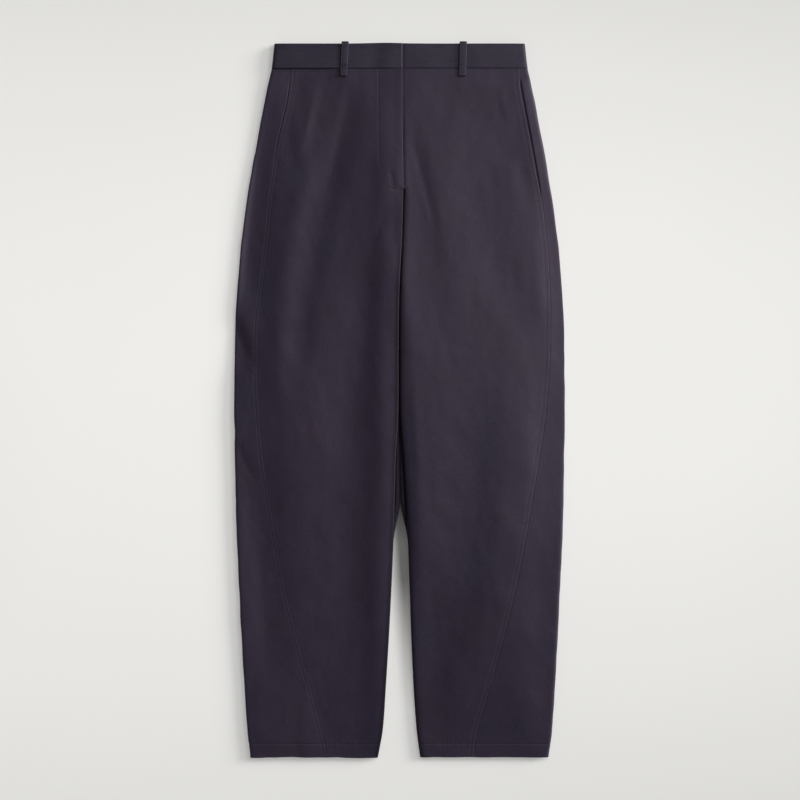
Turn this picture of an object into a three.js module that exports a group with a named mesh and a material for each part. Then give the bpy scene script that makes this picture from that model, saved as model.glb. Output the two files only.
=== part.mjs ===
// High-waisted barrel-leg trousers, laid out flat on their back with the front facing up.
// Millimetres. +X is the viewer's right (the wearer's left), +Y points to the waist and +Z up, away from the
// surface that the trousers lie on. The origin is on that surface, under the middle of the whole garment.
import * as THREE from "three";

// Driving dimensions, in millimetres
const LENGTH = 1041; // waist edge to hem, along the garment
const BAND_HEIGHT = 34.5; // waistband
const HEM_DEPTH = 20; // turned-up hem
const CROTCH = 292; // waist edge to crotch point
const CLOTH = 1.2; // one layer of cotton twill with its finish
const BAND_CLOTH = 1.8; // waistband, outer and facing together
const HEM_CLOTH = 2.1; // leg wall with the hem turned up inside it
const LINING_CLOTH = 1.0; // pocket bag and fly facing
const SEAM = 0.3; // clearance between two pieces that are sewn together
const LOOP_WIDTH = 10.5; // belt loop
const LOOP_CLOTH = 1.1; // folded strip of a belt loop
const LOOP_ABOVE = 3; // how far a belt loop stands above the waist edge
const LOOP_FOOT = 48.5; // waist edge to the stitched foot of a belt loop
const FLY_WIDTH = 35; // fly edge to the straight part of the J stitch
const FLY_BEND = 165; // waist edge to where the J stitch starts to curve
const FLY_END = 213; // waist edge to the bottom of the fly
const UNDERLAP = 17; // how far the left front reaches under the fly edge
const BAND_UNDERLAP = 28; // how far the left waistband reaches under the right one

// How the laid garment's walls stand above the surface
const BAND_FACE = 14.7; // face of the front waistband
const BAND_BACK = 1.4; // the back waistband rests on the back belt loops
const LAP_RISE = 1.3; // the fly lies higher than the front beside it
const LAP_SINK = 1.6; // the left front lies lower under and beside the fly edge
const LAP_RUN = 14; // width over which the left front comes back up
const EDGE_HEIGHT = 4.2; // height of the outermost line of the folded side
const INSEAM_HEIGHT = 3.7; // height of the inseam
const ROLL_OUT = 8; // width of the rounding at the side, on top
const ROLL_UNDER = 5; // width of the rounding below
const ROLL_IN = 10; // width of the rounding beside the inseam, on top
const SEAM_RISE = 0.6; // the front lies higher over the side seam's allowances
const SEAM_SINK = 0.4; // the back panel lies lower beside the side seam
const SEAM_RUN = 9; // width of that step on each side
const SLIT = 1.3; // how far a pocket mouth gapes
const BAG_GAP = 1.2; // how far the pocket bags hang below the front wall

const TOP_Y = (LENGTH + LOOP_ABOVE) / 2 - LOOP_ABOVE; // y of the waist edge

// The garment's outline: a row for each level below the waist edge. outer is the half width of the silhouette,
// seamRight and seamLeft are the side seams' distances from x = 0 (they lie on the front and sweep to the
// middle of the hem), middle and halfGap place the line between the legs, and height is the front's level.
const SECTION_COLUMNS = ["down", "outer", "seamRight", "seamLeft", "middle", "halfGap", "height"];
const SECTIONS = [
  [0, 182.5, 155.0, 173.0, 5.1, 0.15, 14.1],
  [35, 186.5, 157.0, 175.0, 5.1, 0.15, 13.9],
  [70, 194.0, 162.5, 179.5, 5.1, 0.15, 13.8],
  [130, 205.5, 173.5, 191.0, 5.4, 0.15, 13.6],
  [215, 220.8, 188.5, 206.0, 6.6, 0.15, 13.0],
  [292, 231.2, 196.5, 216.0, 5.0, 0.15, 12.0],
  [350, 236.0, 203.5, 219.8, 2.4, 0.25, 11.2],
  [400, 239.4, 209.5, 220.8, 1.3, 0.35, 10.7],
  [470, 240.8, 212.0, 219.5, 1.2, 0.6, 10.3],
  [540, 241.0, 208.5, 214.0, 1.3, 1.2, 10.1],
  [610, 240.0, 202.5, 203.5, 0.9, 5.6, 10.0],
  [700, 238.0, 188.0, 188.0, 2.3, 9.9, 10.0],
  [780, 234.7, 174.0, 172.5, 2.3, 13.2, 10.0],
  [860, 230.7, 155.5, 153.5, 1.6, 16.5, 10.0],
  [940, 226.2, 134.0, 131.5, 1.0, 20.8, 10.0],
  [1000, 222.2, 118.5, 114.0, 1.0, 25.0, 10.1],
  [1041, 217.5, 109.0, 108.0, 0.0, 30.7, 10.3],
];

// The large soft folds of the front: a ridge, or a hollow where height is below 0, from one point to another, bowed
// sideways at its middle. halfRight and halfLeft are its half widths on the wearer's right and left of the crest.
const FOLD_COLUMNS = ["fromX", "fromDown", "toX", "toDown", "bow", "halfRight", "halfLeft", "height"];
const FOLDS = [
  [-112, 105, -176, 582, 20, 25, 24, 2.3], // right hip, fanning out from the belt loop
  [-29, 53, -141, 568, 6, 32, 92, 2.3], // right thigh, beside it
  [-18, 13, -33, 1128, -2, 22, 32, 2.9], // long fold beside the right inseam
  [-12, 191, -74, 927, 30, 31, 22, -0.8], // hollow along that fold
  [-191, 60, -231, 412, 3, 8, 24, -2.9], // hollow along the right side seam
  [-215, 595, -190, 945, -5, 24, 34, -2.3], // hollow beside the right calf's seam
  [-175, 416, -186, 913, -35, 89, 55, 3.6], // right knee
  [-103, 785, -126, 1094, 28, 90, 42, 1.1], // right shin
  [-250, 386, -222, 486, -2, 25, 13, -1.7], // right outer crease
  [-194, -89, -99, 443, -19, 94, 74, -2.0], // hollow over the right seat
  [30, 78, 89, 449, -4, 17, 34, 1.0], // whisker from the fly to the left thigh
  [97, 183, 167, 381, 6, 32, 24, -0.8], // hollow on the left hip
  [152, 160, 205, 428, -14, 27, 15, 1.2], // ridge on the left hip
  [62, 96, 164, 594, -8, 92, 47, 1.4], // crown of the left thigh
  [216, 158, 258, 737, -18, 59, 66, -4.6], // hollow beside the left side seam
  [169, 469, 84, 1034, -20, 47, 77, 3.5], // left knee to hem
  [175, 636, 191, 1056, 4, 35, 28, 1.4], // left calf, outside
  [5, 273, 33, 883, -10, 20, 77, 3.6], // left inner thigh
  [55, 54, 199, 153, 7, 34, 29, -0.7], // hollow below the left belt loop
  [167, 771, 63, 1015, 10, 26, 62, 1.0], // left shin
  [-64, 52, -104, 231, 2, 10, 25, -0.9], // short hollow on the right thigh
  [-107, 589, -158, 901, 8, 38, 40, -1.4], // right thigh to knee
];
const HOLLOW_DEPTH = 0.35; // the hollows flatten out at about this depth
const HOLLOW_BLEND = 0.6; // how softly they do

// The levels at which the leg panels are cut into rows
const LEVELS = [
  BAND_HEIGHT + SEAM, 50, 62, 80, 105, 135, FLY_BEND, 185, 200, 207, FLY_END, 222, 234, 250, 270, CROTCH,
  315, 345, 380, 420, 460, 500, 540, 580, 620, 660, 700, 740, 780, 820, 860, 900, 940, 975, 1000,
  LENGTH - HEM_DEPTH - 1, LENGTH - HEM_DEPTH, LENGTH,
];

const clothMaterial = new THREE.MeshStandardMaterial({ color: 0x38333d, roughness: 0.85, metalness: 0 });
const bandMaterial = new THREE.MeshStandardMaterial({ color: 0x37323c, roughness: 0.85, metalness: 0 });
const liningMaterial = new THREE.MeshStandardMaterial({ color: 0x2b2830, roughness: 0.9, metalness: 0 });

// 0 at a, 1 at b, and smooth in between
function ease(a, b, value) {
  const t = THREE.MathUtils.clamp((value - a) / (b - a), 0, 1);
  return t * t * (3 - 2 * t);
}

// The slope of a column of the section table at one of its rows
function slopeAt(row, column) {
  const before = SECTIONS[Math.max(row - 1, 0)];
  const after = SECTIONS[Math.min(row + 1, SECTIONS.length - 1)];
  return (after[column] - before[column]) / (after[0] - before[0]);
}

// All columns of the section table at a level, on a smooth curve through the rows
function sectionAt(down) {
  let row = 0;
  while (row < SECTIONS.length - 2 && SECTIONS[row + 1][0] < down) row += 1;
  const span = SECTIONS[row + 1][0] - SECTIONS[row][0];
  const t = (down - SECTIONS[row][0]) / span;
  const section = {};
  SECTION_COLUMNS.forEach((name, column) => {
    const rise = SECTIONS[row + 1][column] - SECTIONS[row][column];
    const start = slopeAt(row, column) * span;
    const end = slopeAt(row + 1, column) * span;
    const bend = t * (1 - t) * ((1 - t) * (start - rise) - t * (end - rise));
    section[name] = SECTIONS[row][column] + t * rise + bend;
  });
  return section;
}

// How high one fold stands at a point of the front
function foldHeight(fold, x, down) {
  const { fromX, fromDown, toX, toDown, bow, halfRight, halfLeft, height } = fold;
  const alongX = toX - fromX;
  const alongDown = toDown - fromDown;
  const length = Math.hypot(alongX, alongDown);
  const t = ((x - fromX) * alongX + (down - fromDown) * alongDown) / (length * length);
  if (t <= 0 || t >= 1) return 0;
  const aside = ((x - fromX) * alongDown - (down - fromDown) * alongX) / length + bow * 4 * t * (1 - t);
  const taper = (1 - (2 * t - 1) ** 4) ** 2;
  return height * taper * Math.exp(-((aside / (aside < 0 ? halfRight : halfLeft)) ** 2));
}

// Each row of the fold table with its columns' names
const namedFolds = FOLDS.map((row) => Object.fromEntries(row.map((value, column) => [FOLD_COLUMNS[column], value])));

// Level of the front's outer face away from its rounded edges
function faceHeight(x, down) {
  const raised = HOLLOW_DEPTH + namedFolds.reduce((sum, fold) => sum + foldHeight(fold, x, down), 0);
  return sectionAt(down).height - HOLLOW_DEPTH + (raised + Math.hypot(raised, HOLLOW_BLEND)) / 2;
}

// How far the rounding beside the inseam has developed: none at the hips, all below the crotch
const inseamRoll = (down) => ease(FLY_END, CROTCH + 10, down);
const underRoll = (down) => ease(CROTCH - 45, CROTCH + 8, down);

// The J of the fly: its width at a level, measured from the fly edge
function flyWidth(down) {
  const curve = THREE.MathUtils.clamp((down - FLY_BEND) / (FLY_END - FLY_BEND), 0, 1);
  return Math.max(FLY_WIDTH * Math.sqrt(1 - curve * curve), 8);
}

// How far the fly's layers lift the right front at a distance from the fly edge
function lapRise(fromEdge, down) {
  const width = flyWidth(down);
  return LAP_RISE * ease(width + 6, width, fromEdge) * ease(FLY_END + 21, FLY_END, down);
}

// How far the left front sinks beside and under the fly edge
function lapSink(pastEdge, down) {
  return LAP_SINK * ease(LAP_RUN, 0, pastEdge) * ease(FLY_END + 21, FLY_END, down);
}

// One point of a section: its place, and the way the outer face looks there
function point(x, z, lookX = 0, lookZ = 1) {
  const size = Math.hypot(lookX, lookZ);
  return { x, z, lookX: lookX / size, lookZ: lookZ / size };
}

// A point of the quarter ellipse that rounds an edge. turn runs from 0, level, to a right angle at the edge,
// side is the edge's side in X, and up is 1 above and -1 below. full is how far the rounding has developed.
function rounded(edgeX, edgeZ, width, level, turn, side, up, full = 1) {
  const height = Math.max(Math.abs(level - edgeZ), 0.5);
  const x = edgeX - side * width * (1 - Math.sin(turn));
  const z = level - full * (level - edgeZ) * (1 - Math.cos(turn));
  const steep = Math.hypot(Math.sin(turn) / width, Math.cos(turn) / height);
  const lookX = (side * full * Math.sin(turn)) / width / steep;
  const lookZ = up * (1 - full + (full * Math.cos(turn)) / height / steep);
  return point(x, z, lookX, lookZ);
}

// A closed wall through sections of points: the outer face, and the inner face the cloth's thickness behind it
function wall(name, sections, material) {
  const across = sections[0].points.length;
  const positions = [];
  sections.forEach(({ down, thick, points }) => {
    points.forEach((p) => positions.push(p.x, TOP_Y - down, p.z));
    points.forEach((p) => positions.push(p.x - p.lookX * thick, TOP_Y - down, p.z - p.lookZ * thick));
  });
  const index = [];
  const quad = (a, b, c, d) => index.push(a, b, c, a, c, d);
  const last = across - 1;
  for (let row = 0; row < sections.length - 1; row += 1) {
    const here = row * 2 * across;
    const next = here + 2 * across;
    for (let i = 0; i < last; i += 1) {
      quad(here + i, next + i, next + i + 1, here + i + 1);
      quad(here + across + i + 1, next + across + i + 1, next + across + i, here + across + i);
    }
    quad(here + across, next + across, next, here);
    quad(here + last, next + last, next + across + last, here + across + last);
  }
  const foot = (sections.length - 1) * 2 * across;
  for (let i = 0; i < last; i += 1) {
    quad(i, i + 1, across + i + 1, across + i);
    quad(foot + i + 1, foot + i, foot + across + i, foot + across + i + 1);
  }
  const geometry = new THREE.BufferGeometry();
  geometry.setAttribute("position", new THREE.Float32BufferAttribute(positions, 3));
  geometry.setIndex(facingOut(positions, index));
  return named(name, geometry, material);
}

// The faces turned so that they point out of the solid
function facingOut(positions, index) {
  const corner = (i) => new THREE.Vector3().fromArray(positions, 3 * i);
  let volume = 0;
  for (let i = 0; i < index.length; i += 3) {
    volume += corner(index[i]).dot(corner(index[i + 1]).cross(corner(index[i + 2])));
  }
  if (volume > 0) return index;
  for (let i = 0; i < index.length; i += 3) [index[i], index[i + 1]] = [index[i + 1], index[i]];
  return index;
}

function named(name, geometry, material) {
  geometry.computeVertexNormals();
  const mesh = new THREE.Mesh(geometry, material);
  mesh.name = name;
  return mesh;
}

// The two halves of the garment. side is -1 for the wearer's right, which the viewer sees on the left.
const SIDES = [
  { name: "right", side: -1, seam: "seamRight", mouth: [54, 178] },
  { name: "left", side: 1, seam: "seamLeft", mouth: [54, 228] },
];

// Width of a pocket mouth at a level
function slitAt(half, down) {
  const [top, bottom] = half.mouth;
  return SLIT * ease(top - 4, top + 16, down) * ease(bottom, bottom - 40, down);
}

const legCloth = (down) => (down > LENGTH - HEM_DEPTH - 0.5 ? HEM_CLOTH : CLOTH);

// Where the front's inner end is at a level: the fly edge, the crotch seam or the inseam
function frontEnd(half, down) {
  const { middle, halfGap } = sectionAt(down);
  const seamed = middle + half.side * halfGap;
  if (half.side < 0) return seamed;
  return seamed - (UNDERLAP + SEAM) * ease(212, 206, down);
}

// Level of one front panel's outer face at a distance e from its inner end
function frontFace(half, x, down) {
  const { middle, [half.seam]: seam } = sectionAt(down);
  const fromFly = half.side * (x - middle);
  const lap = half.side < 0 ? lapRise(fromFly, down) : -lapSink(fromFly, down);
  const allowances = SEAM_RISE * ease(SEAM_RUN * 1.6, SEAM_RUN * 0.6, seam - Math.abs(x));
  return faceHeight(x, down) + lap + allowances;
}

// Angles at which a rounding is cut into facets
const TURNS = [0, 0.45, 0.9, 1.25, Math.PI / 2];

// A front panel: side seam to fly edge, crotch seam and inseam
function frontSection(half, down) {
  const section = sectionAt(down);
  const end = frontEnd(half, down);
  const start = half.side * (section[half.seam] - SEAM / 2 - slitAt(half, down));
  const roll = inseamRoll(down);
  const fly = half.side < 0 ? flyWidth(down) : FLY_WIDTH;
  const flat = [fly + 6, fly, 0.5 * fly, 0.2 * fly, 0];
  const points = [0, SEAM_RUN * 0.75, SEAM_RUN * 1.8].map((inward) => {
    const x = start - half.side * inward;
    return point(x, frontFace(half, x, down));
  });
  const span = 9;
  const from = start - half.side * SEAM_RUN * 1.8;
  const to = end + half.side * THREE.MathUtils.lerp(flat[0], ROLL_IN, roll);
  for (let i = 1; i < span; i += 1) {
    const x = THREE.MathUtils.lerp(from, to, i / span);
    points.push(point(x, frontFace(half, x, down)));
  }
  TURNS.forEach((turn, i) => {
    const inward = THREE.MathUtils.lerp(flat[i], ROLL_IN * (1 - Math.sin(turn)), roll);
    const x = end + half.side * inward;
    const lowered = Math.asin(THREE.MathUtils.clamp(1 - inward / ROLL_IN, 0, 1));
    const level = frontFace(half, x, down);
    const edge = INSEAM_HEIGHT + SEAM / 2;
    const p = rounded(end, edge, ROLL_IN, level, lowered, -half.side, 1, roll);
    points.push({ ...p, x });
  });
  return { down, thick: legCloth(down), points };
}

// A back panel: from the side seam on the front, round the folded side, and under to the centre back or inseam
function backSection(half, down) {
  const section = sectionAt(down);
  const outer = half.side * section.outer;
  const under = BAND_BACK * ease(82, 52, down);
  const seam = half.side * (section[half.seam] + SEAM / 2);
  const wrapEnd = outer - half.side * ROLL_OUT;
  const wrapFace = (x) => {
    const sunk = SEAM_SINK * ease(SEAM_RUN, 0, Math.abs(x - seam));
    return faceHeight(x, down) - sunk;
  };
  const points = [0, 0.3, 0.65].map((t) => {
    const x = THREE.MathUtils.lerp(seam, wrapEnd, t);
    return point(x, wrapFace(x));
  });
  TURNS.forEach((turn) => {
    const x = outer - half.side * ROLL_OUT * (1 - Math.sin(turn));
    points.push(rounded(outer, EDGE_HEIGHT, ROLL_OUT, wrapFace(x), turn, half.side, 1));
  });
  [...TURNS].reverse().slice(1).forEach((turn) => {
    points.push(rounded(outer, EDGE_HEIGHT, ROLL_UNDER, under, turn, half.side, -1));
  });
  const roll = underRoll(down);
  const centreBack = section.middle * ease(120, CROTCH, down);
  const end = centreBack + half.side * section.halfGap;
  const bottomStart = outer - half.side * ROLL_UNDER;
  const bottomEnd = end + half.side * ROLL_UNDER;
  [1 / 3, 2 / 3].forEach((t) => points.push(point(THREE.MathUtils.lerp(bottomStart, bottomEnd, t), under, 0, -1)));
  TURNS.forEach((turn) => {
    points.push(rounded(end, INSEAM_HEIGHT - SEAM / 2, ROLL_UNDER, under, turn, -half.side, -1, roll));
  });
  return { down, thick: legCloth(down), points };
}

function frontPanel(half) {
  return wall(`front_${half.name}`, LEVELS.map((down) => frontSection(half, down)), clothMaterial);
}

function backPanel(half) {
  return wall(`back_${half.name}`, LEVELS.map((down) => backSection(half, down)), clothMaterial);
}

// Half of the waistband: from the centre front, round the folded side, and under to the centre back
function bandSection(half, down) {
  const { outer, middle } = sectionAt(down);
  const side = half.side;
  const edge = side * outer;
  const end = side < 0 ? middle : middle - BAND_UNDERLAP;
  const level = (x) => {
    const fromFly = side * (x - middle);
    const lap = side < 0 ? ease(FLY_WIDTH + 8, FLY_WIDTH - 6, fromFly) : -ease(LAP_RUN, 0, fromFly);
    return BAND_FACE + lap * (side < 0 ? LAP_RISE : LAP_SINK - LAP_RISE + SEAM * 2.5);
  };
  const places = [0, 10, 20, 30, 38, 48].map((inward) => end + side * inward);
  for (let i = 1; i < 4; i += 1) places.push(THREE.MathUtils.lerp(places[5], edge - side * ROLL_OUT, i / 4));
  const points = places.map((x) => point(x, level(x)));
  TURNS.forEach((turn) => {
    points.push(rounded(edge, BAND_BACK + EDGE_HEIGHT, ROLL_OUT, BAND_FACE, turn, side, 1));
  });
  [...TURNS].reverse().slice(1).forEach((turn) => {
    points.push(rounded(edge, BAND_BACK + EDGE_HEIGHT, ROLL_UNDER, BAND_BACK, turn, side, -1));
  });
  const centreBack = (side * SEAM) / 2;
  [0.5, 1].forEach((t) => {
    points.push(point(THREE.MathUtils.lerp(edge - side * ROLL_UNDER, centreBack, t), BAND_BACK, 0, -1));
  });
  return { down, thick: BAND_CLOTH, points };
}

function waistband(half) {
  return wall(`waistband_${half.name}`, [0, 17, BAND_HEIGHT].map((down) => bandSection(half, down)), bandMaterial);
}

// The fly's facing, under the right front: its J outline is what the visible stitching follows
function flyFacing() {
  const half = SIDES[0];
  const sections = LEVELS.filter((down) => down < FLY_END).map((down) => {
    const { middle } = sectionAt(down);
    const width = flyWidth(down);
    const points = [width - 0.5, 0.5 * width, 0.2 * width, 1.5].map((inward) => {
      const x = middle - inward;
      return point(x, frontFace(half, x, down) - CLOTH - SEAM - 0.05);
    });
    return { down, thick: LINING_CLOTH, points };
  });
  return wall("fly_facing", sections, liningMaterial);
}

// A pocket bag: its mouth is the open stretch of the side seam, and the front panel closes it above
function pocketBag(half) {
  const depth = 262;
  const width = 118;
  const sections = LEVELS.filter((down) => down < depth + 10).map((down) => {
    const { [half.seam]: seam } = sectionAt(down);
    const narrowing = Math.sqrt(1 - ease(170, depth + 24, down) ** 2);
    const points = [3, -4, -0.25 * width, -0.5 * width, -0.75 * width, -width].map((outward) => {
      const x = half.side * (seam + (outward < -4 ? outward * narrowing : outward));
      return point(x, faceHeight(x, down) - CLOTH - BAG_GAP);
    });
    return { down, thick: LINING_CLOTH, points };
  });
  return wall(`pocket_${half.name}`, sections, liningMaterial);
}

// A strip whose side view is an outline of (down, z) points, standing across x
function strip(name, outline, x, material) {
  const shape = new THREE.Shape(outline.map(([down, z]) => new THREE.Vector2(-down, z)));
  const geometry = new THREE.ExtrudeGeometry(shape, { depth: LOOP_WIDTH, bevelEnabled: false });
  geometry.rotateX(Math.PI / 2);
  geometry.rotateZ(Math.PI / 2);
  const mesh = named(name, geometry, material);
  mesh.position.set(x - LOOP_WIDTH / 2, TOP_Y, 0);
  return mesh;
}

// A belt loop on the front: hooked over the waist edge, hanging clear of the band, and sewn down at its foot
function frontLoop(name, x) {
  const panel = faceHeight(x, LOOP_FOOT - 6) + 0.5;
  const under = BAND_FACE + 0.6;
  const over = under + LOOP_CLOTH;
  const tucked = BAND_FACE - 1.4;
  return strip(name, [
    [-SEAM, tucked], [-SEAM, under - 0.5], [0.6, under], [BAND_HEIGHT, under], [BAND_HEIGHT + 3, panel],
    [LOOP_FOOT, panel], [LOOP_FOOT + 0.3, panel + 0.4], [LOOP_FOOT + 0.3, panel + 2.1], [LOOP_FOOT - 1, panel + 2.6],
    [BAND_HEIGHT + 4, panel + 2.6], [BAND_HEIGHT - 1, over], [-1.2, over], [-LOOP_ABOVE + 0.4, over - 0.7],
    [-LOOP_ABOVE, over - 1.6], [-LOOP_ABOVE, tucked + 0.6], [-LOOP_ABOVE + 0.6, tucked],
  ], x, bandMaterial);
}

// A belt loop on the back: pressed flat under the waistband, just below the waist edge
function backLoop(name, x) {
  return strip(name, [
    [LOOP_FOOT, 0], [LOOP_FOOT, LOOP_CLOTH], [2.2, LOOP_CLOTH], [1.4, LOOP_CLOTH - 0.4], [1.2, 0.4], [1.6, 0],
  ], x, bandMaterial);
}

const trousers = new THREE.Group();
trousers.name = "trousers";
SIDES.forEach((half) => trousers.add(waistband(half), frontPanel(half), backPanel(half), pocketBag(half)));
trousers.add(flyFacing());
trousers.add(frontLoop("belt_loop_front_right", -78.3), frontLoop("belt_loop_front_left", 93.4));
trousers.add(backLoop("belt_loop_back_right", -112), backLoop("belt_loop_back_centre", 0));
trousers.add(backLoop("belt_loop_back_left", 112));

export default trousers;
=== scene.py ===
"""Barrel-leg trousers laid flat on their back, front up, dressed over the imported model.

The scene is in metres: +X is the wearer's left, +Y points to the waist and +Z up from the surface. The shapes
are worked out in millimetres in the garment's own terms: x from the middle, down from the waist edge and z from
the surface.
"""

from __future__ import annotations

import logging
import math
from dataclasses import dataclass, field
from enum import Enum
from typing import Any, Callable

import bpy
import numpy as np
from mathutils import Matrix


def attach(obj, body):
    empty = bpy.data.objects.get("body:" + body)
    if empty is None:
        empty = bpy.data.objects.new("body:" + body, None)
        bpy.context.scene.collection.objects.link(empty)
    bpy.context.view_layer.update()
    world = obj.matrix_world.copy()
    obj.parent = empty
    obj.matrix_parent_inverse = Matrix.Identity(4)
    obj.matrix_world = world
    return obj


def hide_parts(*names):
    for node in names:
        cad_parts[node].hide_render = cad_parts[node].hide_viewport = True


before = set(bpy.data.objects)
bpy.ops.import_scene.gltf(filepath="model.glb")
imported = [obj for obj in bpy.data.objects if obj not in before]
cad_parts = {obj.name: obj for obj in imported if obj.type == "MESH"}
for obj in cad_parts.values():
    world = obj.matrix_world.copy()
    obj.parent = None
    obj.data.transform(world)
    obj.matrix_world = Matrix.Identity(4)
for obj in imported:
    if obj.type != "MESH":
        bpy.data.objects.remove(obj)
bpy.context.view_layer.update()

log = logging.getLogger("trousers")
Array = np.ndarray
Level = Callable[[Array, Array], Array]  # a height by x and down

MM = 0.001
LENGTH = 1041.0  # from the waist edge to the hem
BAND_HEIGHT = 34.5
BAND_EDGE = 36.2  # the band's lower edge, which is rolled down over its seam
HEM_DEPTH = 20.0
CUT_LENGTH = 1036.0  # a leg panel's cut, with its turned-up hem and its seam allowance
CROTCH = 292.0
FLY_WIDTH, FLY_BEND, FLY_END = 35.0, 165.0, 213.0  # where the J starts to bend, and where it ends
UNDERLAP = 17.3  # how far the left front reaches under the fly
BAND_UNDERLAP = 28.0  # how far the left band reaches under the right one
CLOTH, BAND_CLOTH, HEM_CLOTH, LINING_CLOTH = 1.2, 1.8, 2.1, 1.0  # thicknesses
TOP_Y = 519.0  # where the waist edge lies in the scene's Y
BAND_FACE, BAND_BACK = 14.7, 1.4  # levels of the band's front and back
EDGE_HEIGHT, INSEAM_HEIGHT = 4.2, 3.7  # levels of the folded side's outermost line and of the inseam
ROLL_OUT, ROLL_UNDER = 8.0, 5.0  # widths of the folded side's rounding, on top and underneath
LEAN = 0.9  # how far the silhouette is moved to the wearer's left
LOWEST_RIM = 2.4  # the least height of the cloth beside the folded side, so that both layers fit
BAND_GAP = 0.3  # how far below the band's seam the pocket bags and the fly facing start
MIDDLE_GAP = 0.12  # half the gap between the two halves where they meet

SECTION_COLUMNS = ("down", "outer", "seam_right", "seam_left", "middle", "half_gap", "height")
SECTIONS = np.array([
    [0, 182.5, 155.0, 173.0, 5.1, 0.15, 14.1],
    [35, 186.5, 157.0, 175.0, 5.1, 0.15, 13.9],
    [70, 194.0, 162.5, 179.5, 5.1, 0.15, 13.8],
    [130, 205.5, 173.5, 191.0, 5.4, 0.15, 13.6],
    [215, 220.8, 188.5, 206.0, 6.6, 0.15, 13.0],
    [292, 231.2, 196.5, 216.0, 4.2, 0.15, 12.0],
    [350, 236.0, 203.5, 219.8, 1.4, 0.25, 11.2],
    [400, 239.4, 209.5, 220.8, 0.2, 0.35, 10.7],
    [470, 240.8, 212.0, 219.5, 0.1, 0.6, 10.3],
    [540, 241.0, 208.5, 214.0, 0.3, 1.2, 10.1],
    [610, 240.0, 202.5, 203.5, 0.9, 5.6, 10.0],
    [700, 238.0, 188.0, 188.0, 2.3, 9.4, 10.0],
    [780, 234.7, 174.0, 172.5, 2.3, 12.6, 10.0],
    [860, 230.7, 155.5, 153.5, 1.6, 15.9, 10.0],
    [940, 226.2, 134.0, 131.5, 1.0, 20.2, 10.0],
    [1000, 222.2, 118.5, 114.0, 1.0, 24.5, 10.1],
    [1041, 217.5, 109.0, 108.0, 0.0, 30.7, 10.3],
])


class Side(Enum):
    """The two halves of the garment, as the wearer knows them. The value is the half's direction in X."""

    RIGHT = -1
    LEFT = 1

    @property
    def word(self) -> str:
        """The half's name inside a node's name."""
        return self.name.lower()


ROLL_IN = {Side.RIGHT: 1.1, Side.LEFT: 2.6}  # width of the rounding beside the inseam, on top
ROLL_SIDE = {Side.RIGHT: 5.5, Side.LEFT: ROLL_OUT}  # width of the leg's rounding at the folded side
MOUTH = {Side.RIGHT: (54.0, 178.0), Side.LEFT: (54.0, 226.0)}  # top and bottom of each pocket mouth


def ease(start: float, stop: float, value: Array) -> Array:
    """Smooth step: 0 at start, 1 at stop, and 3t squared less 2t cubed in between."""
    t = np.clip((np.asarray(value, float) - start) / (stop - start), 0.0, 1.0)
    return t * t * (3.0 - 2.0 * t)


def bump(value: Array, width: float) -> Array:
    """A bell: 1 at zero and e to the minus one at a distance of width."""
    return np.exp(-((value / width) ** 2))


def section(column: str, down: Array) -> Array:
    """A column of the section table on a smooth curve through its rows.

    Each span is a cubic whose end slopes are those between the rows before and after it.

    Args:
        column: One of SECTION_COLUMNS.
        down: Distances below the waist edge.

    Returns:
        The column's value at each distance.
    """
    rows, values = SECTIONS[:, 0], SECTIONS[:, SECTION_COLUMNS.index(column)]
    before, after = np.r_[0, np.arange(len(rows) - 1)], np.r_[np.arange(1, len(rows)), len(rows) - 1]
    slopes = (values[after] - values[before]) / (rows[after] - rows[before])
    down = np.asarray(down, float)
    i = np.clip(np.searchsorted(rows, down, side="right") - 1, 0, len(rows) - 2)
    span = rows[i + 1] - rows[i]
    t = (down - rows[i]) / span
    rise = values[i + 1] - values[i]
    bend = t * (1 - t) * ((1 - t) * (slopes[i] * span - rise) - t * (slopes[i + 1] * span - rise))
    return values[i] + t * rise + bend


def seam_place(side: Side, down: Array) -> Array:
    """A side seam's distance from the middle. The right one bows at its pocket mouth, as two bells."""
    place = section(f"seam_{side.word}", down)
    if side is Side.LEFT:
        return place
    return place + 1.9 * bump(down - 146.0, 26.0) - 1.0 * bump(down - 82.0, 22.0)


def unit(vectors: Array) -> Array:
    """Vectors scaled to a length of one along the last axis."""
    return vectors / np.maximum(np.linalg.norm(vectors, axis=-1, keepdims=True), 1e-9)


def quads(a: Array, b: Array, c: Array, d: Array) -> Array:
    """Faces from the vertex numbers of their four corners, one face to a row."""
    return np.stack([a, b, c, d], axis=-1).reshape(-1, 4)


def soft_noise(x: Array, y: Array, cell: float, seed: int) -> Array:
    """Smooth random relief between -1 and 1.

    Random values on a square lattice are blended with a fifth-power step between the four corners round
    a point.

    Args:
        x: First coordinate.
        y: Second coordinate.
        cell: Lattice spacing, in the coordinates' unit.
        seed: Which random lattice is used.

    Returns:
        The relief at each point.
    """
    size = 64
    lattice = np.random.default_rng(seed).uniform(-1.0, 1.0, (size, size))
    turned_x, turned_y = (0.8 * x + 0.6 * y) / cell, (0.8 * y - 0.6 * x) / cell
    ix, iy = np.floor(turned_x).astype(int), np.floor(turned_y).astype(int)
    fx, fy = turned_x - ix, turned_y - iy
    fx, fy = fx**3 * (fx * (6 * fx - 15) + 10), fy**3 * (fy * (6 * fy - 15) + 10)
    corner = lambda a, b: lattice[(ix + a) % size, (iy + b) % size]
    low = corner(0, 0) * (1 - fx) + corner(1, 0) * fx
    high = corner(0, 1) * (1 - fx) + corner(1, 1) * fx
    return low * (1 - fy) + high * fy


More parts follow.
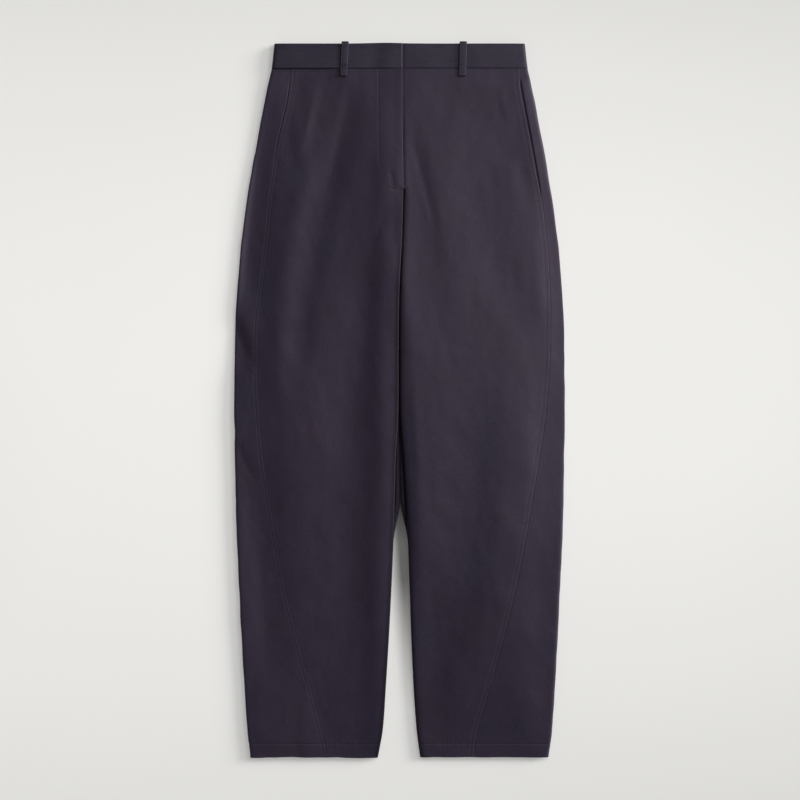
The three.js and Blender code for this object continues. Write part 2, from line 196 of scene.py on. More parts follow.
@dataclass(frozen=True)
class Fold:
    """A soft ridge, or a hollow where height is below 0, along a bowed line over the front.

    Attributes:
        from_x: Where the line starts, across.
        from_down: Where it starts, below the waist edge.
        to_x: Where it ends, across.
        to_down: Where it ends, below the waist edge.
        bow: How far the line's middle moves towards the wearer's right.
        right: Half width on the wearer's right of the crest.
        left: Half width on the wearer's left of the crest.
        height: Height of the crest.
    """

    from_x: float
    from_down: float
    to_x: float
    to_down: float
    bow: float
    right: float
    left: float
    height: float

    def level(self, x: Array, down: Array) -> Array:
        """The fold's height: a bell across the line, as wide on each side as stated, tapered to both ends."""
        along_x, along_down = self.to_x - self.from_x, self.to_down - self.from_down
        length = math.hypot(along_x, along_down)
        t = ((x - self.from_x) * along_x + (down - self.from_down) * along_down) / length**2
        inside = np.clip(t, 0.0, 1.0)
        aside = ((x - self.from_x) * along_down - (down - self.from_down) * along_x) / length
        aside = aside + self.bow * 4 * inside * (1 - inside)
        taper = (1 - (2 * inside - 1) ** 4) ** 2
        return self.height * taper * bump(aside, np.where(aside < 0, self.right, self.left))


FOLDS = (
    Fold(-112, 105, -176, 582, 20, 25, 24, 3.8),  # right hip, fanning out from the belt loop
    Fold(-119, 36, -148, 175, 0, 16, 10, 1.2),  # short ridge beside the right pocket
    Fold(-29, 53, -141, 568, 6, 32, 92, 3.9),  # right thigh, beside it
    Fold(-18, 13, -33, 1128, -2, 22, 32, 4.8),  # long fold beside the right inseam
    Fold(-12, 191, -74, 927, 30, 31, 22, -1.3),  # hollow along that fold
    Fold(-190, 60, -229, 412, 3, 13, 24, -3.8),  # hollow along the right side seam
    Fold(-215, 595, -190, 945, -5, 24, 34, -3.8),  # hollow beside the right calf's seam
    Fold(-175, 416, -186, 913, -35, 89, 55, 6.0),  # right knee
    Fold(-103, 785, -126, 1094, 28, 90, 42, 1.8),  # right shin
    Fold(-250, 386, -222, 486, -2, 25, 13, -2.9),  # right outer crease
    Fold(-244, 571, -212, 661, 1, 9, 8, -0.1),  # right outer crease, lower
    Fold(-194, -89, -99, 443, -19, 94, 74, -3.3),  # right seat's hollow
    Fold(30, 78, 89, 449, -4, 17, 34, 1.6),  # whisker from the fly to the left thigh
    Fold(97, 183, 167, 381, 6, 32, 24, -1.4),  # left hip's hollow
    Fold(152, 160, 205, 428, -14, 27, 15, 2.0),  # left hip's ridge
    Fold(62, 96, 164, 594, -8, 92, 47, 2.3),  # left thigh's crown
    Fold(216, 158, 258, 737, -18, 59, 66, -7.6),  # hollow beside the left side seam
    Fold(169, 469, 84, 1034, -20, 47, 77, 5.9),  # left knee to hem
    Fold(120, 553, 65, 884, -2, 33, 27, -0.5),  # hollow inside it
    Fold(175, 636, 191, 1056, 4, 35, 28, 2.3),  # left calf's outer ridge
    Fold(5, 273, 33, 883, -10, 20, 77, 6.0),  # left inner thigh
    Fold(55, 54, 199, 153, 7, 34, 29, -1.2),  # hollow below the left belt loop
    Fold(167, 771, 63, 1015, 10, 26, 62, 1.6),  # left shin
    Fold(-64, 52, -104, 231, 2, 10, 25, -1.5),  # right thigh's short hollow
    Fold(-107, 589, -158, 901, 8, 38, 40, -2.3),  # right thigh to knee
    Fold(184, 131, 211, 334, -1, 11, 10, 1.1),  # ridge beside the left pocket
    Fold(182, 434, 180, 687, -5, 34, 14, 1.0),  # left knee's outer ridge
    Fold(198, 262, 207, 556, 0, 60, 24, 1.1),  # left hip's outer ridge
    Fold(236, 262, 240, 560, 0, 60, 60, 1.5),  # fullness under the left hip's rim
)

CREASES = (
    Fold(-115, 58, -137, 150, 4, 4, 7, 0.25),  # short ridge beside the right pocket
    Fold(-242, 395, -206, 478, 3, 5, 9, -0.5),  # slanting creases over the right side seam
    Fold(-240, 575, -208, 640, 2, 5, 8, -0.6),
    Fold(14, 128, 58, 300, -3, 5, 8, -0.6),  # whisker from the fly to the left thigh
    Fold(-8, 222, -44, 320, 3, 8, 5, -0.4),  # whisker from the fly to the right thigh
    Fold(150, 62, 158, 112, 2, 6, 6, 0.5),  # small ridge beside the left pocket
    Fold(-13, 184, -8, 214, -1, 2.5, 1.8, -0.7),  # hook-shaped crease at the fly's end
    Fold(-13, 212.5, 6, 213.5, 0, 1.6, 1.6, -0.7),
    Fold(-4, 158, -2, 214, 0, 5, 5, 0.35),  # the fly's end, padded by its facing
    Fold(-138, 36, -114, 44, 0, 1.8, 1.8, -0.45),  # pucker below the waistband
)


class Lay:
    """How the laid garment's front stands above the surface."""

    @staticmethod
    def smooth(x: Array, down: Array) -> Array:
        """The front's level with its large folds: the section table's height plus every fold."""
        level = section("height", down) + 0 * x
        for fold in FOLDS:
            level = level + fold.level(x, down)
        return level

    @staticmethod
    def face(x: Array, down: Array) -> Array:
        """The front's level with large folds, creases and the cloth's gentle unevenness."""
        level = Lay.smooth(x, down)
        for crease in CREASES:
            level = level + crease.level(x, down)
        level = level + 0.42 * soft_noise(x, 0.45 * down, cell=34, seed=3)
        level = level + 0.2 * soft_noise(x, 0.6 * down, cell=15, seed=5)
        return level + 0.06 * soft_noise(x, down, cell=7, seed=7)

    @staticmethod
    def lap(inward: Array, down: Array) -> Array:
        """How much the fly lifts the right front: fully within a third of its width from its edge, then less."""
        width = Lay.fly_width(down)
        return 0.9 * ease(width + 3, 0.3 * width, inward) * ease(FLY_END + 16, 150, down)

    @staticmethod
    def fly_width(down: Array) -> Array:
        """Width of the fly's J: straight, then a quarter ellipse down to the end of the fly."""
        curve = np.clip((np.asarray(down, float) - FLY_BEND) / (FLY_END - FLY_BEND), 0, 1)
        return np.maximum(FLY_WIDTH * np.sqrt(1 - curve**2), 8)


@dataclass
class ClothMesh:
    """Grids of a cloth wall, in millimetres, that become one closed shell.

    Attributes:
        x: Across, for each row and column of the outer face.
        down: Below the waist edge, in the same shape.
        z: Above the surface, in the same shape.
        relief: Small heights added to the outer face alone, along its normal.
        thickness: The wall's thickness.
        wear: From 0 to 1 where edges and seams have rubbed lighter; below 0, painted shade in the crease between
            the legs.
        up: A column at which the outer face looks up.
    """

    x: Array
    down: Array
    z: Array
    relief: Array | float = 0.0
    thickness: Array | float = CLOTH
    wear: Array | float = 0.0
    up: int = 3

    def normals(self) -> tuple[Array, Array]:
        """The grid's points in scene axes, and unit normals from the cross product of the grid's two steps."""
        points = np.stack([self.x, TOP_Y - self.down, self.z], axis=-1)
        normals = unit(np.cross(np.gradient(points, axis=1), np.gradient(points, axis=0)))
        return points, normals * np.sign(normals[len(points) // 2, self.up, 2])

    def build(self, name: str) -> bpy.types.Object:
        """Makes the closed shell: the outer grid, the inner grid behind it, and strips round the four edges.

        Args:
            name: The node that the piece stands for.

        Returns:
            The piece, with UVs in metres along the cloth and a wear attribute for rubbed edges and painted
            shade.
        """
        points, normals = self.normals()
        spread = lambda value: np.broadcast_to(np.asarray(value, float), self.x.shape)[..., None]
        outer = points + normals * spread(self.relief)
        inner = points - normals * spread(self.thickness)
        rows, columns = self.x.shape
        ids = np.arange(rows * columns).reshape(rows, columns)
        back = ids + rows * columns
        faces = np.concatenate([
            quads(ids[:-1, :-1], ids[1:, :-1], ids[1:, 1:], ids[:-1, 1:]),
            quads(back[:-1, 1:], back[1:, 1:], back[1:, :-1], back[:-1, :-1]),
            quads(back[:-1, 0], back[1:, 0], ids[1:, 0], ids[:-1, 0]),
            quads(ids[:-1, -1], ids[1:, -1], back[1:, -1], back[:-1, -1]),
            quads(ids[0, :-1], ids[0, 1:], back[0, 1:], back[0, :-1]),
            quads(ids[-1, 1:], ids[-1, :-1], back[-1, :-1], back[-1, 1:]),
        ])
        steps = np.hypot(np.diff(self.x), np.diff(self.z))
        walked = np.concatenate([np.zeros((rows, 1)), np.cumsum(steps, axis=1)], axis=1)
        cloth = np.stack([walked + self.x[:, :1], self.down + 0 * self.x], axis=-1) * MM
        wear = np.broadcast_to(np.asarray(self.wear, float), self.x.shape)
        return solid(f"{name}_cloth", np.concatenate([outer, inner]).reshape(-1, 3) * MM, faces,
                     np.tile(cloth.reshape(-1, 2), (2, 1)), np.tile(wear.ravel(), 2))


def solid(name: str, points: Array, faces: Array, uvs: Array, wear: Array | None = None) -> bpy.types.Object:
    """Puts a closed mesh of quads and triangles into the scene, facing out.

    The sum of each face's a.(b x c) + a.(c x d) is six times the volume, and below 0 for a mesh that is inside
    out.

    Args:
        name: The piece's name.
        points: Vertices in metres, one to a row.
        faces: Four vertex numbers to a row. A triangle has its first one again at the end.
        uvs: One UV pair for each vertex.
        wear: For each vertex, its wear above 0 and its painted shade below 0; none leaves both at 0.

    Returns:
        The object, smooth-shaded, at the origin.
    """
    a, b, c, d = (points[faces[:, k]] for k in range(4))
    volume = np.einsum("ij,ij->", a, np.cross(b, c)) + np.einsum("ij,ij->", a, np.cross(c, d))
    if volume < 0:
        faces = faces[:, ::-1]
    mesh = bpy.data.meshes.new(name)
    polygons = [face[:3] if face[0] == face[3] else face for face in faces.tolist()]
    mesh.from_pydata(points.tolist(), [], polygons)
    corners = np.empty(len(mesh.loops), np.int32)
    mesh.loops.foreach_get("vertex_index", corners)
    layer = mesh.uv_layers.new(name="cloth")
    layer.data.foreach_set("uv", uvs[corners].astype(np.float32).ravel())
    values = np.zeros(len(points)) if wear is None else wear
    mesh.attributes.new("wear", "FLOAT", "POINT").data.foreach_set("value", values.astype(np.float32))
    mesh.shade_smooth()
    piece = bpy.data.objects.new(name, mesh)
    bpy.context.scene.collection.objects.link(piece)
    return piece


def columns_between(start: Array, stop: Array, near: list[float], far: list[float], step: float) -> Array:
    """Columns from one edge of a panel to the other: at set distances from each edge, and evenly between.

    Args:
        start: Where the first edge is on each row.
        stop: Where the second edge is on each row.
        near: Distances from the first edge, rising.
        far: Distances from the second edge, falling.
        step: About how far apart the columns between lie.

    Returns:
        A grid of places, a row for each row of the panel.
    """
    count = max(int((np.abs(stop - start).max() - near[-1] - far[0]) / step), 2)
    t = np.linspace(0, 1, count + 1)[1:-1]
    fixed = np.r_[near, near[-1] - t * (near[-1] + far[0]), -np.asarray(far)]
    share = np.r_[np.zeros(len(near)), t, np.ones(len(far))]
    way = np.sign(stop - start)[:, None]
    return start[:, None] + way * (fixed + share * np.abs(stop - start)[:, None])


def rounding(turn: Array) -> tuple[Array, Array]:
    """A quarter of a rounded square: the square roots of the sine and the cosine of the turn, out and up."""
    return np.sqrt(np.sin(turn)), np.sqrt(np.clip(np.cos(turn), 0, 1))


def folded_side(way: int, down: Array, outer: Array, roll: Array | float, edge: Array | float, above: Level,
                under: Level) -> tuple[Array, Array]:
    """The columns round the garment's side: a rounding to its outermost line, then a quarter ellipse under it.

    Args:
        way: The half's direction in X.
        down: The rows, as a column.
        outer: The outermost line's distance from the middle.
        roll: Width of the rounding on top.
        edge: Level of the outermost line.
        above: The front's level, by x and down.
        under: The underside's level, by x and down.

    Returns:
        The columns' x and z.
    """
    out, up = rounding(np.linspace(0, np.pi / 2, 11)[None, 1:])
    top_x = way * (outer - roll * (1 - out))
    top_z = edge + (above(top_x, down) - edge) * up
    turn = np.linspace(np.pi / 2, 0, 6)[None, 1:]
    low_x = way * (outer - ROLL_UNDER * (1 - np.sin(turn)))
    low_z = edge - (edge - under(low_x, down)) * np.cos(turn)
    return np.concatenate([top_x, low_x], axis=1), np.concatenate([top_z, low_z], axis=1)


def turned_edge(distance: Array, radius: float, depth: float) -> Array:
    """Relief of a folded edge: a quarter round of the given radius that drops by depth at the edge."""
    t = np.clip(1 - distance / radius, 0, 1)
    return -depth * (1 - np.sqrt(1 - t * t))


def stitched_line(distance: Array, along: Array, seed: int, depth: float = 0.28) -> Array:
    """Relief beside a row of stitches: a narrow groove, and small uneven puckers along both sides of it."""
    ripple = np.sin(2 * np.pi * along / (8.5 + 2.5 * soft_noise(along, 0 * along, cell=60, seed=seed)))
    puckers = 0.11 * ripple * (0.6 + 0.4 * soft_noise(along, distance, cell=22, seed=seed + 1))
    return -depth * bump(distance, 1.0) + puckers * bump(distance, 5.5)


ROWS = np.unique(np.concatenate([
    BAND_EDGE + np.array([-7, -4, -1.5, 0, 1.2, 3]), np.arange(BAND_EDGE + 6, 196, 2.9),
    np.arange(197, 220, 1.3), np.arange(222, LENGTH - HEM_DEPTH - 6, 2.9),
    LENGTH - HEM_DEPTH + np.array([-4.5, -3, -1.8, -0.9, 0, 0.9, 1.8, 3, 5, 8, 11, 14, 16.5, 18, 19, 19.6]),
    [LENGTH],
]))


class HemAndBand:
    """What the waistband and the hem do to the rows of every leg panel."""

    @staticmethod
    def relief(x: Array, down: Array, seed: int) -> Array:
        """The hem's stitched groove and folded edge, and the step down under the waistband's lower edge."""
        hem = stitched_line(down - (LENGTH - HEM_DEPTH), x, seed, 0.3) + turned_edge(LENGTH - down, 1.2, 0.9)
        scallop = 0.25 * soft_noise(x, down, cell=16, seed=seed + 3) * ease(LENGTH - 26, LENGTH - 6, down)
        return hem + scallop - 1.6 * ease(BAND_EDGE + 0.9, BAND_EDGE - 1.5, down)

    @staticmethod
    def thickness(down: Array) -> Array:
        """The wall's thickness: more where the hem is turned up inside it."""
        return CLOTH + (HEM_CLOTH - CLOTH) * ease(LENGTH - HEM_DEPTH - 1.5, LENGTH - HEM_DEPTH + 0.5, down)

    @staticmethod
    def hem_line(x: Array) -> Array:
        """How far the hem's edge wanders from a straight line, in millimetres down."""
        long_waves, short_waves = soft_noise(x, 0 * x, cell=45, seed=41), soft_noise(x, 0 * x, cell=14, seed=42)
        return 0.8 * long_waves + 0.3 * short_waves - 0.6


@dataclass
class FrontPanel:
    """A front leg panel, from the side seam to the fly edge, crotch seam and inseam.

    Attributes:
        side: Which half it belongs to.
        topstitch: The topstitching's distance from the side seam.
        flat: The cut's width and length.
        area: The cut's area in square metres.
    """

    side: Side
    topstitch: float
    flat: tuple[float, float]
    area: float

    def start(self, down: Array) -> Array:
        """The side seam's place, where the pocket mouth gapes a little."""
        top, bottom = MOUTH[self.side]
        gape = (0.8 if self.side is Side.RIGHT else 2.2) * ease(top - 4, top + 8, down)
        return self.side.value * (seam_place(self.side, down) - gape * ease(bottom, bottom - 40, down))

    def stop(self, down: Array) -> Array:
        """The inner end's place: the fly edge or the underlap, the crotch seam and the inseam."""
        seamed = section("middle", down) + self.side.value * section("half_gap", down)
        return seamed if self.side is Side.RIGHT else seamed - UNDERLAP * ease(FLY_END, FLY_END - 7, down)

    def level(self, x: Array, down: Array) -> Array:
        """The outer face without its edges.

        It is the lay, lifted over the fly or sunk beside it, and raised at the side seam.

        Args:
            x: Places across.
            down: Places below the waist edge.

        Returns:
            The level at each place.
        """
        from_fly = x - section("middle", down)
        end = ease(FLY_END + 21, FLY_END, down)  # the fly's effect ends just below the fly
        sunk = (0.5 + 1.1 * ease(70, 135, down)) * ease(3.2, -0.4, from_fly)
        lap = end * (Lay.lap(-from_fly, down) if self.side is Side.RIGHT else -sunk)
        inward = np.abs(self.start(down)) - np.abs(x)
        rise = 0.3 * ease(185, 150, down) + 0.12 * ease(330, 400, down) if self.side is Side.RIGHT else 0.05
        return Lay.face(x, down) + lap + rise * ease(13.0, 4.0, inward) + self.inner(x, down)

    def inner(self, x: Array, down: Array) -> Array:
        """What the inner edge adds.

        The right one rises to the seam, by smooth steps. The left one falls to it as a square.

        Args:
            x: Places across.
            down: Places below the waist edge.

        Returns:
            The height added at each place.
        """
        inward = np.abs(x - self.stop(down))
        if self.side is Side.LEFT:
            return -1.9 * ease(200, 228, down) * np.clip(1 - inward / 9.5, 0, 1) ** 2
        by_fly = (0.7 + 0.8 * bump(down - 258, 34)) * ease(15, 1, inward) * ease(308, 276, down)
        return by_fly + 0.5 * ease(6.5, 1.5, inward) * ease(276, 308, down)

    def rolled(self, x: Array, down: Array) -> Array:
        """The outer face with the rounding beside the inseam: a fourth-power ellipse down to the seam."""
        level = self.level(x, down)
        roll = ease(FLY_END, CROTCH + 10, down)
        inward = np.abs(x - self.stop(down))
        t = np.clip(1 - inward / ROLL_IN[self.side], 0, 1)
        return level - roll * (level - INSEAM_HEIGHT) * (1 - (1 - t**4) ** 0.25)

    def relief(self, x: Array, down: Array) -> Array:
        """Edges and stitched lines: the side seam, the hem, and the fly's J on the right front."""
        inward = np.abs(x - self.start(down))
        seed = 60 + self.side.value
        top, bottom = MOUTH[self.side]
        below_band = ease(top - 7, top + 1, down)
        at_mouth = ease(bottom + 8, bottom - 12, down)
        depth = 0.1 + (0.75 + 0.15 * at_mouth if self.side is Side.RIGHT else 0.3) * below_band
        relief = depth * turned_edge(inward, 1.1, 1.0)
        relief = relief + stitched_line(inward - self.topstitch, down, seed, 0.16)
        relief = relief + HemAndBand.relief(x, down, seed + 10)
        if self.side is Side.RIGHT:
            from_edge = np.abs(x - self.stop(down))
            above = (0.15 + 0.85 * ease(184, 168, down)) * ease(FLY_END + 1, FLY_END - 2, down)
            relief = relief + turned_edge(from_edge, 0.9, 0.4) * ease(CROTCH - 20, FLY_END, down)
            relief = relief + stitched_line(from_edge - Lay.fly_width(down), down, 90, 0.17) * above
        return relief

    def surface(self, x: Array, down: Array) -> Array:
        """The outer face with its rounding and its relief."""
        return self.rolled(x, down) + self.relief(x, down)

    def build(self) -> bpy.types.Object:
        """Makes the panel's closed shell."""
        sewn = self.topstitch
        near = [0, 0.12, 0.35, 0.7, 1.1, 1.8, 2.8, *(sewn + np.array([-1.3, -0.6, 0, 0.6, 1.4, 2.6, 4.4]))]
        far = [*(FLY_WIDTH + np.array([3.5, 2, 1.2, 0.6, 0.2, -0.2, -0.6, -1.2, -2, -3.5])),
               28.5, 25.5, 22.5, 19.5, 16.5, 13, 10, 7.6, 5.6, 4, 2.7, 1.6, 0.8, 0.3, 0.08, 0]
        grid = columns_between(self.start(ROWS), self.stop(ROWS), near, far, 2.6)
        down = ROWS[:, None] + HemAndBand.hem_line(grid) * ease(LENGTH - 60, LENGTH, ROWS)[:, None]
        flat = ROWS[:, None] + 0 * grid
        inward = np.abs(grid - self.start(ROWS)[:, None])
        wear = 0.2 * bump(inward, 1.6) + 0.3 * bump(inward - sewn, 1.2) + 0.7 * bump(LENGTH - flat, 2.5)
        # Painted shade: a band beside the inner edge, below the fly, is darkened in colour through the wear
        # attribute.
        crease = bump(np.abs(grid - self.stop(ROWS)[:, None]), 3.4) * ease(FLY_END - 12, FLY_END + 8, flat)
        wear = np.clip(wear, 0, 1) - crease
        level, relief, thickness = self.rolled(grid, flat), self.relief(grid, flat), HemAndBand.thickness(flat)
        return ClothMesh(grid, down, level, relief, thickness, wear).build(f"front_{self.side.word}")

    def dress(self, piece: bpy.types.Object, finish: "Finish") -> None:
        """Gives the piece its cloth, attaches it and hides the imported part that it stands for."""
        declare(piece, finish, self.flat, self.area)


@dataclass
class BackPanel:
    """A back leg panel: from under the side seam, round the folded side, to the centre back and the inseam.

    Attributes:
        side: Which half it belongs to.
        flat: The cut's width and length.
        area: The cut's area in square metres.
    """

    side: Side
    flat: tuple[float, float]
    area: float

    def wrap(self, x: Array, down: Array) -> Array:
        """The outer face where it lies on the front: the lay, stepping down as it goes under the front panel.

        Beside the folded side it is held above LOWEST_RIM by a smooth maximum: half of the sum of the shortfall
        and the root of its square plus 0.8 squared.

        Args:
            x: Places across.
            down: Places below the waist edge.

        Returns:
            The level at each place.
        """
        outward = np.abs(x) - seam_place(self.side, down)
        below_band = 0.25 + 0.75 * ease(45, 54, down)
        if self.side is Side.RIGHT:
            mouth = ease(50, 58, down) * ease(180, 150, down)
            step = (0.8 + 0.7 * mouth) * ease(-0.3, -1.2, outward)
        else:
            tilt = 0.12 * np.clip(outward, 0, 26) * ease(40, 60, down) * ease(570, 440, down)
            mouth = ease(50, 58, down) * ease(236, 205, down)
            step = (0.45 + 0.95 * mouth) * ease(1.1, -0.6, outward) + tilt + 0.3 * bump(down - 52.5, 1.6)
            step = step + 0.45 * ease(6, 0, outward) * ease(50, 56, down) * ease(112, 80, down)
        level = Lay.face(x, down) - below_band * step
        shortfall = LOWEST_RIM - level
        return level + 0.5 * (np.hypot(shortfall, 0.8) + shortfall) * ease(8, 22, outward)

    @staticmethod
    def under(x: Array, down: Array) -> Array:
        """The underside: on the surface below the seat, lifted beside the waistband, with shallow hollows."""
        hollows = 0.9 * np.clip(soft_noise(x, 0.35 * down, cell=42, seed=21) - 0.15, 0, 1)
        hollows = hollows + 0.5 * np.clip(soft_noise(x, 0.8 * down, cell=18, seed=22) - 0.3, 0, 1)
        return BAND_BACK * ease(82, 52, down) + hollows * ease(60, 130, down)

    def build(self) -> bpy.types.Object:
        """Makes the panel's closed shell along its whole path.

        The columns run from under the front panel's edge out to the side, round it, and in along the underside
        to a last quarter ellipse at the inner end. Below the crotch that one bulges towards the other leg as the
        sine of twice its angle, until the two nearly meet.
        """
        way = self.side.value
        down = ROWS[:, None]
        outer = section("outer", down) + way * LEAN + 0.5 * soft_noise(down, 0 * down, cell=24, seed=31 + way)
        edge = np.minimum(EDGE_HEIGHT, 0.66 * self.wrap(way * (outer - 3), down))
        seam = seam_place(self.side, down)
        roll = np.minimum(ROLL_SIDE[self.side], 0.42 * (outer - seam))
        top_x = columns_between((way * (seam - 6))[:, 0], (way * (outer - roll))[:, 0],
                                [0, 2, 3.6, 4.6, 5.3, 6, 6.8, 7.8, 9.4], [0.8, 0], 2.8)
        side_x, side_z = folded_side(way, down, outer, roll, edge, self.wrap, self.under)
        centre = section("middle", down) * ease(120, CROTCH, down)
        end = centre + way * section("half_gap", down)
        flat_x = columns_between((way * (outer - ROLL_UNDER))[:, 0], (end + way * ROLL_UNDER)[:, 0],
                                 [4.0], [0], 5.0)
        last = np.linspace(0, np.pi / 2, 6)[None, 1:]
        lip = (section("half_gap", down) + 1.7) * ease(300, 340, down) * ease(735, 655, down)
        bulge = lip * np.abs(np.sin(2 * last)) ** 0.7
        reach = section("half_gap", down) + ROLL_UNDER * (1 - np.sin(last)) - bulge
        last_x = centre + way * np.maximum(reach, MIDDLE_GAP)
        seated = self.under(last_x, down)
        last_z = seated + ease(CROTCH - 45, CROTCH + 8, down) * (INSEAM_HEIGHT - seated) * (1 - np.cos(last))
        x = np.concatenate([top_x, side_x, flat_x, last_x], axis=1)
        z = np.concatenate([self.wrap(top_x, down), side_z, self.under(flat_x, down), last_z], axis=1)
        flat = down + 0 * x
        on_top = np.arange(x.shape[1])[None, :] < top_x.shape[1] + 4
        relief = HemAndBand.relief(x, flat, 80 + way)
        relief = np.where(on_top, relief, np.minimum(relief, 0))
        wear = np.clip(0.8 * bump(outer - np.abs(x), 2.5) + 0.7 * bump(LENGTH - flat, 2.5), 0, 1)
        wander = HemAndBand.hem_line(x) * ease(LENGTH - 60, LENGTH, flat)
        cloth = ClothMesh(x, flat + wander, z, relief, HemAndBand.thickness(flat), wear)
        return cloth.build(f"back_{self.side.word}")

    def dress(self, piece: bpy.types.Object, finish: "Finish") -> None:
        """Gives the piece its cloth, attaches it and hides the imported part that it stands for."""
        declare(piece, finish, self.flat, self.area)


@dataclass
class Waistband:
    """Half of the waistband, from the centre front round the side to the centre back.

    The right half laps over the left one.

    Attributes:
        side: Which half it is.
        flat: The cut's width and length.
    """

    side: Side
    flat: tuple[float, float]

    def level(self, x: Array, down: Array) -> Array:
        """The front's outer face, with the lap near the centre, small waves, and a top that curves down.

        Args:
            x: Places across.
            down: Places below the waist edge.

        Returns:
            The level at each place.
        """
        from_fly = self.side.value * (x - section("middle", down))
        lap = 1.3 * ease(44, 16, from_fly) if self.side is Side.RIGHT else -0.7 * ease(3.2, -0.4, from_fly)
        uneven = 0.4 * soft_noise(x, 0.5 * down, cell=38, seed=11)
        uneven = uneven + 0.22 * soft_noise(0.6 * x, down, cell=13, seed=12)
        waves = 0.07 * np.sin(2 * np.pi * down / 6.2 + 2.5 * soft_noise(x, 0 * x, cell=60, seed=13))
        crown = 1.5 * np.clip(1 - down / 13, 0, 1) ** 2
        return BAND_FACE + lap + uneven + waves - crown

    def build(self) -> bpy.types.Object:
        """Makes the half's closed shell, with a folded top edge and a seamed lower edge."""
        way = self.side.value
        rows = np.array([0, 0.15, 0.5, 1.0, 1.8, 3.2, 5, 7.5, 10, 13, 17, 21, 25, 29, 32, 33.5,
                         *(BAND_EDGE - np.array([1.6, 0.9, 0.4, 0.12, 0]))])
        down = rows[:, None]
        outer = section("outer", down) + way * LEAN
        start = section("middle", down) - (BAND_UNDERLAP if self.side is Side.LEFT else 0)
        front_x = columns_between(start[:, 0], (way * (outer - ROLL_OUT))[:, 0],
                                  [0, 0.12, 0.35, 0.75, 1.3, 2.3, 4, 6], [1.2, 0], 2.6)
        under = lambda x, down: BAND_BACK + 0 * x
        side_x, side_z = folded_side(way, down, outer, ROLL_OUT, BAND_BACK + EDGE_HEIGHT, self.level, under)
        centre = 0 * outer[:, 0] + way * MIDDLE_GAP
        back_x = columns_between((way * (outer - ROLL_UNDER))[:, 0], centre, [4.0], [0], 5.0)
        x = np.concatenate([front_x, side_x, back_x], axis=1)
        z = np.concatenate([self.level(front_x, down), side_z, under(back_x, down)], axis=1)
        flat = down + 0 * x
        relief = turned_edge(flat, 1.6, 1.0) + turned_edge(BAND_EDGE - flat, 0.9, 0.6)
        relief = relief + turned_edge(np.abs(x - start), 1.3, 1.3)
        wear = np.clip(0.8 * bump(flat, 2.0) + 0.9 * bump(np.abs(x - start), 1.0), 0, 1)
        on_front = np.arange(x.shape[1]) < front_x.shape[1]
        rise = 0.9 * bump(x + 20, 30) * ease(BAND_HEIGHT, 0, flat) * on_front
        return ClothMesh(x, flat - rise, z, relief, BAND_CLOTH, wear).build(f"waistband_{self.side.word}")

    def dress(self, piece: bpy.types.Object, finish: "Finish") -> None:
        """Gives the piece its cloth, attaches it and hides the imported part that it stands for."""
        declare(piece, finish, self.flat, None)


@dataclass
class PocketBag:
    """A pocket bag: a single layer that hangs flat under the front panel from the pocket mouth.

    Attributes:
        side: Which half it belongs to.
        depth: Its lower end in the cut, below the waist edge.
        width: Its width.
        seam: Its seam allowance, which reaches under the side seam.
        clearance: The gap between it and the front panel.
    """

    side: Side
    depth: float = 262.0
    width: float = 118.0
    seam: float = 3.0
    clearance: float = 1.2

    def build(self) -> bpy.types.Object:
        """Makes the bag's closed shell: its inner edge runs in a quarter round to the bottom."""
        bottom = self.depth + 4.0
        down = np.unique(np.r_[np.arange(BAND_HEIGHT + BAND_GAP, bottom, 6.0), bottom])[:, None]
        mouth = section(f"seam_{self.side.word}", down)
        reach = self.width * np.sqrt(1 - ease(170, self.depth + 24, down) ** 2)
        t = np.linspace(0, 1, 26)[None, :]
        x = self.side.value * (mouth - self.seam + t * (self.seam - reach))
        z = Lay.smooth(x, down) - CLOTH - self.clearance
        return ClothMesh(x, down + 0 * x, z, 0.0, LINING_CLOTH).build(f"pocket_{self.side.word}")

    def dress(self, piece: bpy.types.Object, finish: "Finish") -> None:
        """Gives the piece its lining, attaches it and hides the imported part that it stands for."""
        flat = (self.width, self.depth - BAND_HEIGHT)
        declare(piece, finish, flat, None)


@dataclass
class FlyFacing:
    """The facing under the right front's fly, whose outline is the J of the visible stitching.

    Attributes:
        inset: How far it stays back from the fly edge.
        clearance: The gap between it and the front panel.
    """

    inset: float = 1.5
    clearance: float = 0.45

    def build(self) -> bpy.types.Object:
        """Makes the facing's closed shell."""
        down = np.arange(BAND_HEIGHT + BAND_GAP, FLY_END - 5, 3.0)[:, None]
        reach = Lay.fly_width(down) - 0.5
        t = np.linspace(0, 1, 12)[None, :]
        x = section("middle", down) - self.inset - t * (reach - self.inset)
        z = Lay.smooth(x, down) + Lay.lap(section("middle", down) - x, down) - CLOTH - self.clearance
        return ClothMesh(x, down + 0 * x, z, 0.0, LINING_CLOTH).build("fly_facing")

    def dress(self, piece: bpy.types.Object, finish: "Finish") -> None:
        """Gives the piece its lining, attaches it and hides the imported part that it stands for."""
        declare(piece, finish, (FLY_WIDTH, FLY_END - BAND_HEIGHT), None)


